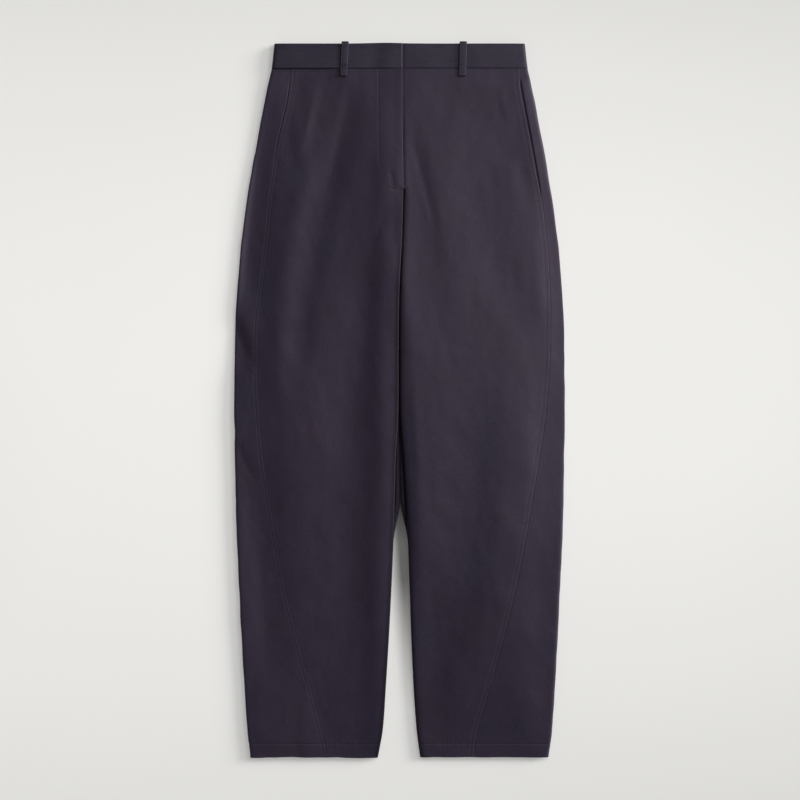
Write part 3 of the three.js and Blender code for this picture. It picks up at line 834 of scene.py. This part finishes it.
@dataclass
class BeltLoop:
    """A belt loop: a folded strip along a path in down and z, from over the waist edge to its stitched foot.

    Attributes:
        name: The node that the loop stands for.
        x: Its middle at the waist edge.
        lean: How far its foot stands to the side of its top.
        front: Whether it lies on the front, or is pressed flat under the back.
        width: Its width.
        foot: How far below the waist edge its foot is.
        length: The length of its cut.
    """

    name: str
    x: float
    lean: float
    front: bool
    width: float = 10.5
    foot: float = 48.0
    length: float = 58.0

    def path(self) -> tuple[Array, Array]:
        """The middle line of the strip's outer face, as down and z, on an even spacing.

        On the front it starts behind the waist edge, goes over it, lies on the band, steps down to the panel
        and ends in a folded foot. On the back it lies on the surface. A bell-shaped average rounds its bends.

        Returns:
            The line's down and z.
        """
        if self.front:
            panel = float(Lay.smooth(np.array(self.x), np.array(46.0)))
            on_band = [(-0.5, -1.3), (-1.9, -0.7), (-2.8, 0.7), (-2.5, 2.3),
                       (-1, 3.1), (4, 3.3), (16, 3.5), (30, 3.3)]
            on_panel = [(36, 3.9), (42, 3.6), (47.2, 3.4), (48.6, 2.6), (48.9, 1.2)]
            knots = np.r_[np.array(on_band) + [0, BAND_FACE], np.array(on_panel) + [0, panel]]
        else:
            knots = np.array([(1.4, 1.6), *((down, 1.26) for down in (2.4, 12, 28, 40, 47.2)), (48.5, 1.6)])
        walked = np.r_[0, np.cumsum(np.hypot(*np.diff(knots, axis=0).T))]
        even = np.linspace(0, walked[-1], 90)
        kernel = np.hanning(7) / np.hanning(7).sum()
        smooth = lambda values: np.convolve(np.pad(values, 3, mode="edge"), kernel, mode="valid")
        return smooth(np.interp(even, walked, knots[:, 0])), smooth(np.interp(even, walked, knots[:, 1]))

    def build(self) -> bpy.types.Object:
        """Makes the strip's closed shell, rounded along both edges, with two stitched grooves."""
        along, height = self.path()
        half = np.array([0.25, 0.5, 0.62, 0.72, 0.85, 0.94, 0.985, 1])
        across = self.width / 2 * np.r_[-half[::-1], 0, half][None, :]
        down, z = along[:, None] + 0 * across, height[:, None] + 0 * across
        x = self.x + self.lean * np.clip(down / self.foot, 0, 1) + across
        edge = self.width / 2 - np.abs(across) + 0 * down
        relief = turned_edge(edge, 0.9, 0.85)
        if self.front:
            relief = relief + stitched_line(edge - 1.9, down, 120, 0.14)
        thickness = 2.0 if self.front else 1.25
        return ClothMesh(x, down, z, relief, thickness, 0.9 * bump(edge, 1.2), len(half)).build(self.name)

    def dress(self, piece: bpy.types.Object, finish: "Finish") -> None:
        """Gives the piece its cloth, attaches it and hides the imported part that it stands for."""
        declare(piece, finish, (self.width, self.length), None)


def declare(piece: bpy.types.Object, finish: "Finish", flat: tuple[float, float],
            area: float | None) -> None:
    """Dresses a sheet of cloth, attaches it to the root and hides the imported part that it stands for.

    Args:
        piece: The piece, named as the node that it stands for.
        finish: What it is made of.
        flat: The cut's width and length in millimetres.
        area: The cut's area in square metres, or none where it is a rectangle; not used.
    """
    node = piece.name.removesuffix("_cloth")
    piece.data.materials.append(finish.material())
    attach(piece, "root")
    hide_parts(node)
    flat[0] * MM
    flat[1] * MM


@dataclass
class StitchRow:
    """A row of stitches along a line on the garment.

    Attributes:
        x: The line's points across.
        down: The line's points below the waist edge.
        z: The cloth's height at those points.
        pitch: Length of one stitch with the gap after it.
    """

    x: Array
    down: Array
    z: Array
    pitch: float = 3.1

    def stitches(self) -> tuple[Array, Array, Array]:
        """Middles, directions and half lengths of the stitches, evenly spaced along the line."""
        line = np.stack([self.x, TOP_Y - self.down, self.z], axis=1)
        walked = np.r_[0, np.cumsum(np.linalg.norm(np.diff(line, axis=0), axis=1))]
        count = max(int(walked[-1] / self.pitch), 1)
        at = (np.arange(count) + 0.5) * walked[-1] / count
        pick = lambda s: np.stack([np.interp(s, walked, line[:, k]) for k in range(3)], axis=1)
        half = 0.41 * walked[-1] / count
        return pick(at), unit(pick(at + half) - pick(at - half)), np.full(count, half)


@dataclass
class Stitching:
    """All the topstitching as one piece: each stitch is a short thread, thickest in the middle."""

    radius: float = 0.32
    rows: list[StitchRow] = field(default_factory=list)

    def add(self, x: Array, down: Array, level: Level, lift: float) -> None:
        """Adds a row along x and down, at the height that level gives, raised by lift."""
        x, down = np.broadcast_arrays(np.asarray(x, float), np.asarray(down, float))
        self.rows.append(StitchRow(x, down, level(x, down) + lift))

    def build(self, name: str) -> bpy.types.Object:
        """Makes the threads: rings along each stitch, their radius the root of 1.05 less the place squared.

        The place runs from -1 to 1 along the stitch. The core sinks into the cloth by its square.

        Args:
            name: The piece's name.

        Returns:
            The piece.
        """
        parts = [row.stitches() for row in self.rows]
        middle, heading, half = (np.concatenate([part[k] for part in parts]) for k in range(3))
        aside = unit(np.cross(heading, [0.0, 0.0, 1.0]))
        upward = np.cross(aside, heading)
        rings, around = 5, 6
        t = np.linspace(-1, 1, rings)
        swell = self.radius * np.sqrt(np.clip(1.05 - t * t, 0.02, 1))
        sink = -0.7 * t**2 * self.radius
        angle = np.arange(around) * 2 * np.pi / around
        ring = (aside[:, None, None] * np.cos(angle)[None, None, :, None]
                + upward[:, None, None] * np.sin(angle)[None, None, :, None]) * swell[None, :, None, None]
        core = middle[:, None, None] + heading[:, None, None] * (t[None, :] * half[:, None])[..., None, None]
        core = core + np.array([0, 0, 1.0]) * sink[None, :, None, None]
        points = (core + ring).reshape(-1, 3) * MM
        count = len(middle)
        ids = np.arange(count * rings * around).reshape(count, rings, around)
        nxt = np.roll(ids, -1, axis=2)
        sides = quads(ids[:, :-1], nxt[:, :-1], nxt[:, 1:], ids[:, 1:])
        ends = np.concatenate([
            quads(ids[:, 0, 0], ids[:, 0, 3], ids[:, 0, 2], ids[:, 0, 1]),
            quads(ids[:, 0, 0], ids[:, 0, 5], ids[:, 0, 4], ids[:, 0, 3]),
            quads(ids[:, -1, 0], ids[:, -1, 1], ids[:, -1, 2], ids[:, -1, 3]),
            quads(ids[:, -1, 0], ids[:, -1, 3], ids[:, -1, 4], ids[:, -1, 5]),
        ])
        return solid(name, points, np.concatenate([sides, ends]), points[:, :2])


@dataclass
class BarTacks:
    """Bar-tacks as one piece: short raised bars of close satin stitches.

    Attributes:
        bars: A row for each bar: its middle across and down, its length, its direction in degrees from across,
            and the height of the cloth under it.
        width: Width of a bar.
        height: Height of a bar.
        stitch: Distance between its stitches.
    """

    bars: list[tuple[float, float, float, float, float]]
    width: float = 1.8
    height: float = 0.4
    stitch: float = 0.7

    def build(self, name: str) -> bpy.types.Object:
        """Makes the bars: a half round across, rippled along as a sine squared, over a flat closed bottom.

        Args:
            name: The piece's name.

        Returns:
            The piece.
        """
        rings, around = 41, 7
        t = np.linspace(0, 1, rings)[:, None]
        angle = np.linspace(0, np.pi, around)[None, :]
        points, faces = [], []
        for x, down, length, degrees, z in self.bars:
            over, up = math.cos(math.radians(degrees)), math.sin(math.radians(degrees))
            ripple = 0.78 + 0.22 * np.sin(np.pi * t * length / self.stitch) ** 2
            round_end = np.clip(1 - (2 * t - 1) ** 8, 0.05, 1)
            along = (t - 0.5) * length + 0 * angle
            aside = np.cos(angle) * self.width / 2 * round_end
            level = z + self.height * np.sin(angle) * ripple * round_end
            grid = [x + over * along - up * aside, TOP_Y - down + up * along + over * aside, level]
            ids = rings * around * len(points) + np.arange(rings * around).reshape(rings, around)
            nxt = np.roll(ids, -1, axis=1)
            faces.append(quads(ids[:-1], ids[1:], nxt[1:], nxt[:-1]))
            for end, turn in ((ids[0], -1), (ids[-1], 1)):
                fan = [end[[0, 1, 2, 3]], end[[0, 3, 4, 5]], end[[0, 5, 6, 0]]]
                faces.append(np.array(fan)[:, ::turn])
            points.append(np.stack(grid, axis=-1).reshape(-1, 3))
        mesh_points = np.concatenate(points) * MM
        return solid(name, mesh_points, np.concatenate(faces), mesh_points[:, :2])


BLACK = (0.0, 0.0, 0.0, 1.0)


class Value:
    """A number in a material's nodes. Arithmetic on it adds Math nodes."""

    def __init__(self, shader: "Shader", socket: bpy.types.NodeSocket) -> None:
        self.shader, self.socket = shader, socket

    def math(self, operation: str, *others: "Value | float", first: "Value | float | None" = None) -> "Value":
        """Adds a Math node: operation on this value and the others, or on first and this value."""
        inputs = [self, *others] if first is None else [first, self]
        node = self.shader.node("ShaderNodeMath", {"operation": operation}, dict(enumerate(inputs)))
        return Value(self.shader, node.outputs[0])

    def __add__(self, other: "Value | float") -> "Value":
        """This value plus another."""
        return self.math("ADD", other)

    def __radd__(self, other: float) -> "Value":
        """A number plus this value."""
        return self.math("ADD", other)

    def __sub__(self, other: "Value | float") -> "Value":
        """This value less another."""
        return self.math("SUBTRACT", other)

    def __rsub__(self, other: float) -> "Value":
        """A number less this value."""
        return self.math("SUBTRACT", first=other)

    def __mul__(self, other: "Value | float") -> "Value":
        """This value times another."""
        return self.math("MULTIPLY", other)

    def __rmul__(self, other: float) -> "Value":
        """A number times this value."""
        return self.math("MULTIPLY", other)

    def sine(self) -> "Value":
        """The sine of this value."""
        return self.math("SINE")

    def clamp(self, low: float, high: float) -> "Value":
        """This value held between two others."""
        return self.math("MINIMUM", high).math("MAXIMUM", low)


class Shader:
    """The nodes of one material."""

    def __init__(self, name: str) -> None:
        self.material = bpy.data.materials.new(name)
        self.material.use_nodes = True
        self.tree = self.material.node_tree
        self.tree.nodes.clear()

    def node(self, kind: str, settings: dict[str, Any] | None = None,
             inputs: dict[Any, Any] | None = None) -> bpy.types.Node:
        """Adds a node.

        Args:
            kind: The node's type.
            settings: Its settings, set first; "stops" holds a ramp's places and colours.
            inputs: Values or links of its sockets, by name or number.

        Returns:
            The node.
        """
        node = self.tree.nodes.new(kind)
        for key, setting in (settings or {}).items():
            if key == "stops":
                ramp = node.color_ramp.elements
                while len(ramp) < len(setting):
                    ramp.new(0.5)
                for element, (place, colour) in zip(ramp, setting):
                    element.position, element.color = place, (*colour, 1.0)
            else:
                setattr(node, key, setting)
        for key, value in (inputs or {}).items():
            target = node.inputs[key]
            if isinstance(value, Value):
                self.tree.links.new(value.socket, target)
            elif isinstance(value, bpy.types.NodeSocket):
                self.tree.links.new(value, target)
            else:
                target.default_value = value
        return node

    def noise(self, coordinates: bpy.types.NodeSocket, scale: float, detail: float = 2.0) -> Value:
        """A noise pattern around a half, at so many cells to a metre."""
        made = self.node("ShaderNodeTexNoise", {"noise_dimensions": "3D"},
                         {"Vector": coordinates, "Scale": scale, "Detail": detail, "Roughness": 0.55})
        return Value(self, made.outputs["Fac"])

    def mix(self, share: Value, first: Any, second: Any) -> bpy.types.NodeSocket:
        """A colour between two others."""
        made = self.node("ShaderNodeMix", {"data_type": "RGBA"}, {0: share, 6: first, 7: second})
        return made.outputs[2]

    def tint(self, colour: bpy.types.NodeSocket, by: tuple[float, float, float]) -> bpy.types.NodeSocket:
        """A colour multiplied by another, channel by channel."""
        made = self.node("ShaderNodeMix", {"data_type": "RGBA", "blend_type": "MULTIPLY"},
                         {0: 1.0, 6: colour, 7: (*by, 1.0)})
        return made.outputs[2]

    def raised(self, strength: float, distance: float, height: Value) -> bpy.types.NodeSocket:
        """The normal of a fine relief: height times distance, in metres."""
        made = self.node("ShaderNodeBump", None, {"Strength": strength, "Distance": distance, "Height": height})
        return made.outputs[0]

    def surface(self, inputs: dict[str, Any]) -> bpy.types.Material:
        """Closes the material with a Principled shader."""
        shader = self.node("ShaderNodeBsdfPrincipled", None, inputs)
        self.node("ShaderNodeOutputMaterial", None, {"Surface": shader.outputs[0]})
        return self.material


@dataclass(frozen=True)
class Finish:
    """A woven cloth: twill lines, slubs, heathered yarn, soft mottling, edges rubbed lighter, and painted shade
    in creases.

    Attributes:
        name: The material's name.
        dark: Colour of the dark yarn.
        light: Colour of the light yarn.
        rubbed: Colour of edges rubbed lighter.
        pitch: Distance between twill lines, in millimetres.
        relief: Height of the weave, in millimetres.
        sheen: Weight of the fibres' soft sheen.
        slub: How the slubs' pattern is stretched: across, along and up.
        cast: What a cooler patch multiplies the colour by.
        streak: Weight of the slubs.
    """

    name: str
    dark: tuple[float, float, float]
    light: tuple[float, float, float]
    rubbed: tuple[float, float, float]
    pitch: float = 0.85
    relief: float = 0.1
    sheen: float = 0.1
    slub: tuple[float, float, float] = (1.0, 0.12, 1.0)
    cast: tuple[float, float, float] = (0.86, 1.03, 1.05)
    streak: float = 0.7

    def material(self) -> bpy.types.Material:
        """Makes the material once, and hands out the same one afterwards."""
        if self.name in bpy.data.materials:
            return bpy.data.materials[self.name]
        shader = Shader(self.name)
        cloth = shader.node("ShaderNodeUVMap", {"uv_map": "cloth"}).outputs[0]
        placed = shader.node("ShaderNodeTexCoord").outputs["Object"]
        split = shader.node("ShaderNodeSeparateXYZ", None, {0: cloth})
        across, along = (Value(shader, split.outputs[k]) for k in (0, 1))
        turn = 2 * math.pi / (self.pitch * MM)
        twill = ((across + along * 1.2) * turn).sine() * 0.5 + 0.5
        yarn = (across * (turn * 1.7)).sine() * 0.5 + 0.5
        heather = shader.noise(cloth, 760.0, 2.0)
        fleck = shader.noise(cloth, 330.0, 1.0)
        stretched = shader.node("ShaderNodeMapping", None, {"Vector": cloth, "Scale": self.slub}).outputs[0]
        slub = shader.noise(stretched, 420.0)
        mottle = shader.noise(placed, 26.0, 3.0)
        lighter = twill * 0.3 + heather * 0.5 + fleck * 0.8 + slub * self.streak + mottle * 0.4
        share = lighter - (0.5 * self.streak + 0.5)
        plain = shader.mix(share, (*self.dark, 1.0), (*self.light, 1.0))
        cooler = shader.noise(placed, 11.0, 2.0) * 2.4 - 0.7
        woven = shader.mix(cooler, plain, shader.tint(plain, self.cast))
        worn_and_shaded = Value(shader, shader.node("ShaderNodeAttribute", {"attribute_name": "wear"}).outputs["Fac"])
        rubbed = shader.mix(worn_and_shaded * (heather * 0.9 + 0.1), woven, (*self.rubbed, 1.0))
        # Painted shade: where the wear attribute is below 0, in the crease between the legs, the colour is
        # darkened towards black.
        with_painted_shade = shader.mix((worn_and_shaded * -0.8).math("MAXIMUM", 0.0), rubbed, BLACK)
        height = twill * 0.6 + yarn * 0.25 + heather * 0.5 + slub * 0.35
        raised = shader.raised(0.6, self.relief * MM, height)
        return shader.surface({
            "Base Color": with_painted_shade, "Roughness": mottle * 0.1 + 0.47 - worn_and_shaded * 0.03,
            "Specular IOR Level": 0.32, "Specular Tint": (0.95, 0.84, 0.98, 1.0), "Sheen Weight": self.sheen,
            "Sheen Roughness": 0.45, "Sheen Tint": (0.84, 0.74, 0.92, 1.0), "Normal": raised,
        })


@dataclass(frozen=True)
class ThreadFinish:
    """Sewing thread: two plies twisted round each other."""

    name: str
    colour: tuple[float, float, float]
    shade: tuple[float, float, float]

    def material(self) -> bpy.types.Material:
        """Makes the thread's material."""
        shader = Shader(self.name)
        placed = shader.node("ShaderNodeTexCoord").outputs["Object"]
        split = shader.node("ShaderNodeSeparateXYZ", None, {0: placed})
        x, y = (Value(shader, split.outputs[k]) for k in (0, 1))
        plies = ((x + y) * (2 * math.pi / 0.0006)).sine() * 0.5 + 0.5
        fuzz = shader.noise(placed, 700.0)
        colour = shader.mix(plies * 0.5 + fuzz * 0.5, (*self.shade, 1.0), (*self.colour, 1.0))
        return shader.surface({"Base Color": colour, "Roughness": fuzz * 0.2 + 0.5, "Sheen Weight": 0.1,
                               "Normal": shader.raised(0.5, 0.08 * MM, plies + fuzz)})


@dataclass
class Studio:
    """The pale surface, the soft light from the wearer's left and the camera straight above.

    Attributes:
        picture: Width of what the camera sees at the surface: 800 pixels of 1.46 mm.
        centre: Where the camera stands in X and Y.
        distance: How high it stands.
        sensor: Width of its sensor in millimetres.
        shade: Share of each lamp's light on the surface that the garment shades.
    """

    picture: float = 1.168
    centre: tuple[float, float] = (0.00146, -0.0003)
    distance: float = 4.2
    sensor: float = 36.0
    shade: float = 0.5

    def camera(self) -> None:
        """Makes the camera, whose field at the surface is as wide as the picture."""
        data = bpy.data.cameras.new("camera")
        data.sensor_width = self.sensor
        data.lens = self.sensor * self.distance / self.picture
        camera = bpy.data.objects.new("camera", data)
        camera.location = (*self.centre, self.distance)
        bpy.context.scene.collection.objects.link(camera)
        bpy.context.scene.camera = camera

    def floor(self, garment: list[bpy.types.Object]) -> None:
        """Makes the pale surface, a wide sheet just below the garment, and groups both for the lamps.

        Its tone is painted light and shade: a slope across and a bowl of even powers that paint a gentle
        fall-off of light, and a painted soft shadow between the legs.

        Args:
            garment: The garment's pieces.
        """
        mesh = bpy.data.meshes.new("surface")
        reach, level = 6.0, -0.0004
        around = ((-1, -1), (1, -1), (1, 1), (-1, 1))
        mesh.from_pydata([(reach * x, reach * y, level) for x, y in around], [], [(0, 1, 2, 3)])
        floor = bpy.data.objects.new("surface", mesh)
        shader = Shader("surface")
        placed = shader.node("ShaderNodeTexCoord").outputs["Object"]
        split = shader.node("ShaderNodeSeparateXYZ", None, {0: placed})
        x, y = (Value(shader, split.outputs[k]).clamp(-0.62, 0.62) for k in (0, 1))
        # Painted light: the slope and the bowl make the surface's tone fall off across it as the light does.
        slant = 0.91 - x * 0.143 - y * 0.09 - x * y * 0.05
        bowl = x * x * 0.03 - y * y * 0.24 - y * y * y * y * 0.1
        # Painted shadow: a soft dark patch between the legs, darkest under the thighs and paler towards the hem.
        between = (1.0 - (x - 0.005) * (x - 0.005) * 900.0).math("MAXIMUM", 0.0)
        between = between * ((0.3 - y) * 10.0).clamp(0.0, 1.0)
        from_right_leg = ((x + y * 0.1 + 0.0463) * 40.0).clamp(0.1, 1.0)
        from_hem = ((y + 0.455) * 5.2).clamp(0.0, 1.0)
        under_thighs = ((y + 0.21) * 14.0).clamp(0.0, 1.0)
        shadow = (1.0 - between * from_right_leg * from_hem * 0.79) * (1.0 - between * under_thighs * 0.95)
        tone = (shader.noise(placed, 3.0) * 0.02 + slant + bowl) * shadow
        colour = shader.mix(tone, BLACK, (1.0, 0.994, 0.97, 1.0))
        paper = shader.surface({"Base Color": colour, "Roughness": 0.9, "Specular IOR Level": 0.1})
        mesh.materials.append(paper)
        bpy.context.scene.collection.objects.link(floor)
        for name, members in (("floor", [floor]), ("cloth", garment)):
            group = bpy.data.collections.new(name)
            for member in members:
                group.objects.link(member)

    def light(self, name: str, kind: str, energy: float, place: tuple[float, float, float],
              size: float) -> None:
        """Adds one lamp that looks at the garment's middle.

        On the surface its light is split in two: a share that the garment shades, and the rest, which passes
        through it.

        Args:
            name: Its name.
            kind: SUN, whose size is its softness in degrees, or AREA, whose size is its width in metres.
            energy: Its strength.
            place: Where it stands.
            size: How soft it is.
        """
        floor, cloth = bpy.data.collections["floor"], bpy.data.collections["cloth"]
        parts = [("cloth", 1.0, cloth, None), ("shade", self.shade, floor, None),
                 ("fill", 1 - self.shade, floor, floor)]
        for part, share, lit, blocking in parts:
            data = bpy.data.lights.new(f"{name}_{part}", kind)
            data.energy = energy * share
            if kind == "SUN":
                data.angle = math.radians(size)
            else:
                data.shape, data.size = "DISK", size
            lamp = bpy.data.objects.new(f"{name}_{part}", data)
            x, y, z = place
            lamp.location = place
            lamp.rotation_euler = (math.acos(z / math.hypot(x, y, z)), 0.0, math.atan2(y, x) + math.pi / 2)
            bpy.context.scene.collection.objects.link(lamp)
            lamp.light_linking.receiver_collection = lit
            lamp.light_linking.blocker_collection = blocking

    def lights(self) -> None:
        """Adds a soft key from the wearer's left, a softbox over the waist and a little light all round."""
        self.light("key", "SUN", energy=3.6, place=(2.0, 0.7, 0.92), size=27.0)
        self.light("above", "AREA", energy=15.2, place=(0.78, 0.66, 1.75), size=0.9)
        world = bpy.data.worlds.new("studio")
        world.use_nodes = True
        background = world.node_tree.nodes["Background"]
        background.inputs[0].default_value = (1.0, 0.995, 0.985, 1.0)
        background.inputs[1].default_value = 0.165
        bpy.context.scene.world = world
        bpy.context.scene.view_settings.view_transform = "Standard"


TWILL = Finish("aubergine twill", dark=(0.0112, 0.0069, 0.0157), light=(0.0240, 0.0162, 0.0322),
               rubbed=(0.042, 0.032, 0.054))
BAND_TWILL = Finish("waistband twill", dark=(0.0080, 0.0062, 0.0125), light=(0.0200, 0.0162, 0.0300),
                    rubbed=(0.038, 0.032, 0.052), slub=(0.1, 1.4, 1.0), streak=1.5)
LINING = Finish("pocketing", dark=(0.012, 0.010, 0.015), light=(0.020, 0.017, 0.024),
                rubbed=(0.03, 0.026, 0.034), pitch=0.5, relief=0.05, sheen=0.05)
THREAD = ThreadFinish("aubergine thread", (0.020, 0.016, 0.025), (0.011, 0.0085, 0.0145))
TACK_THREAD = ThreadFinish("dark thread", (0.014, 0.010, 0.019), (0.008, 0.006, 0.011))


SIDE_LIFT = {Side.RIGHT: -0.24, Side.LEFT: 0.08}  # how high the side seams' topstitching stands in its groove
HEM_LIFT, BACK_HEM_LIFT, FLY_LIFT = -0.12, -0.15, -0.1  # the same for the other rows


def sew(fronts: dict[Side, FrontPanel], backs: dict[Side, BackPanel]) -> Stitching:
    """Lays out every visible row of topstitching.

    Args:
        fronts: The two front panels.
        backs: The two back panels.

    Returns:
        The rows, ready to build.
    """
    sewn = Stitching()
    for side, front in fronts.items():
        way = side.value
        down = np.linspace(BAND_HEIGHT + 2, LENGTH - 2, 700)
        sewn.add(front.start(down) - way * front.topstitch, down, front.surface, SIDE_LIFT[side])
        hem = np.full(140, LENGTH - HEM_DEPTH)
        inner, seam, outer = front.stop(hem), front.start(hem), way * (section("outer", hem) - ROLL_OUT - 1)
        t = np.linspace(0, 1, 140)
        from_inseam, from_seam, past_seam = 8.0, 2.0, 1.5
        reach = seam - inner - way * (from_inseam + from_seam)
        sewn.add(inner + way * from_inseam + reach * t, hem, front.surface, HEM_LIFT)
        sewn.add(seam + way * past_seam + (outer - seam) * t, hem, backs[side].wrap, BACK_HEM_LIFT)
    bend = FLY_BEND + (FLY_END - FLY_BEND) * np.sin(np.linspace(0, 1.3, 60))
    down = np.r_[np.linspace(BAND_HEIGHT + 1, FLY_BEND, 80), bend]
    sewn.add(section("middle", down) - Lay.fly_width(down), down, fronts[Side.RIGHT].surface, FLY_LIFT)
    return sewn


def main() -> None:
    """Builds the trousers piece by piece, then the studio."""
    logging.basicConfig(level=logging.INFO, format="%(message)s")
    fronts = {
        Side.RIGHT: FrontPanel(Side.RIGHT, 4.8, (236.0, CUT_LENGTH), 0.205),
        Side.LEFT: FrontPanel(Side.LEFT, 6.2, (250.0, CUT_LENGTH), 0.215),
    }
    backs = {
        Side.RIGHT: BackPanel(Side.RIGHT, (345.0, CUT_LENGTH), 0.295),
        Side.LEFT: BackPanel(Side.LEFT, (345.0, CUT_LENGTH), 0.285),
    }
    bands = [Waistband(Side.RIGHT, (382.0, BAND_HEIGHT)), Waistband(Side.LEFT, (400.0, BAND_HEIGHT))]
    loops = [
        BeltLoop("belt_loop_front_right", -78.3, -2.6, front=True),
        BeltLoop("belt_loop_front_left", 93.4, -1.2, front=True),
        BeltLoop("belt_loop_back_right", -112.0, 0.0, front=False),
        BeltLoop("belt_loop_back_centre", 0.0, 0.0, front=False),
        BeltLoop("belt_loop_back_left", 112.0, 0.0, front=False),
    ]
    dressed = [*((panel, TWILL) for panel in (*fronts.values(), *backs.values())),
               *((piece, BAND_TWILL) for piece in (*bands, *loops)),
               *((piece, LINING) for piece in (PocketBag(Side.RIGHT), PocketBag(Side.LEFT), FlyFacing()))]
    pieces = []
    for maker, finish in dressed:
        piece = maker.build()
        pieces.append(piece)
        maker.dress(piece, finish)
        log.info("%s: %d faces", piece.name, len(piece.data.polygons))
    threads = sew(fronts, backs).build("topstitching")
    spot = lambda level, x, down: float(level(np.array(x), np.array(down)))
    tacks = BarTacks([
        (-81.0, 45.6, 8.6, 0.0, 17.3),  # the front belt loops' feet
        (92.2, 45.6, 8.6, 0.0, 17.0),
        (199.6, 228.0, 8.0, 5.0, spot(Lay.face, 199.6, 228.0)),  # the pocket mouths' lower ends
        (-183.0, 178.0, 8.0, -5.0, spot(Lay.face, -183.0, 178.0) - 0.4),
        (-2.5, FLY_END - 1.5, 8.0, -3.0, spot(fronts[Side.RIGHT].level, -2.5, FLY_END - 1.5) - 0.1),  # the fly
    ]).build("bar_tacks")
    for piece, thread in ((threads, THREAD), (tacks, TACK_THREAD)):
        piece.data.materials.append(thread.material())
        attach(piece, "root")
        pieces.append(piece)
        log.info("%s: %d faces", piece.name, len(piece.data.polygons))
    studio = Studio()
    studio.camera()
    studio.floor(pieces)
    studio.lights()


if __name__ == "__main__":
    main()
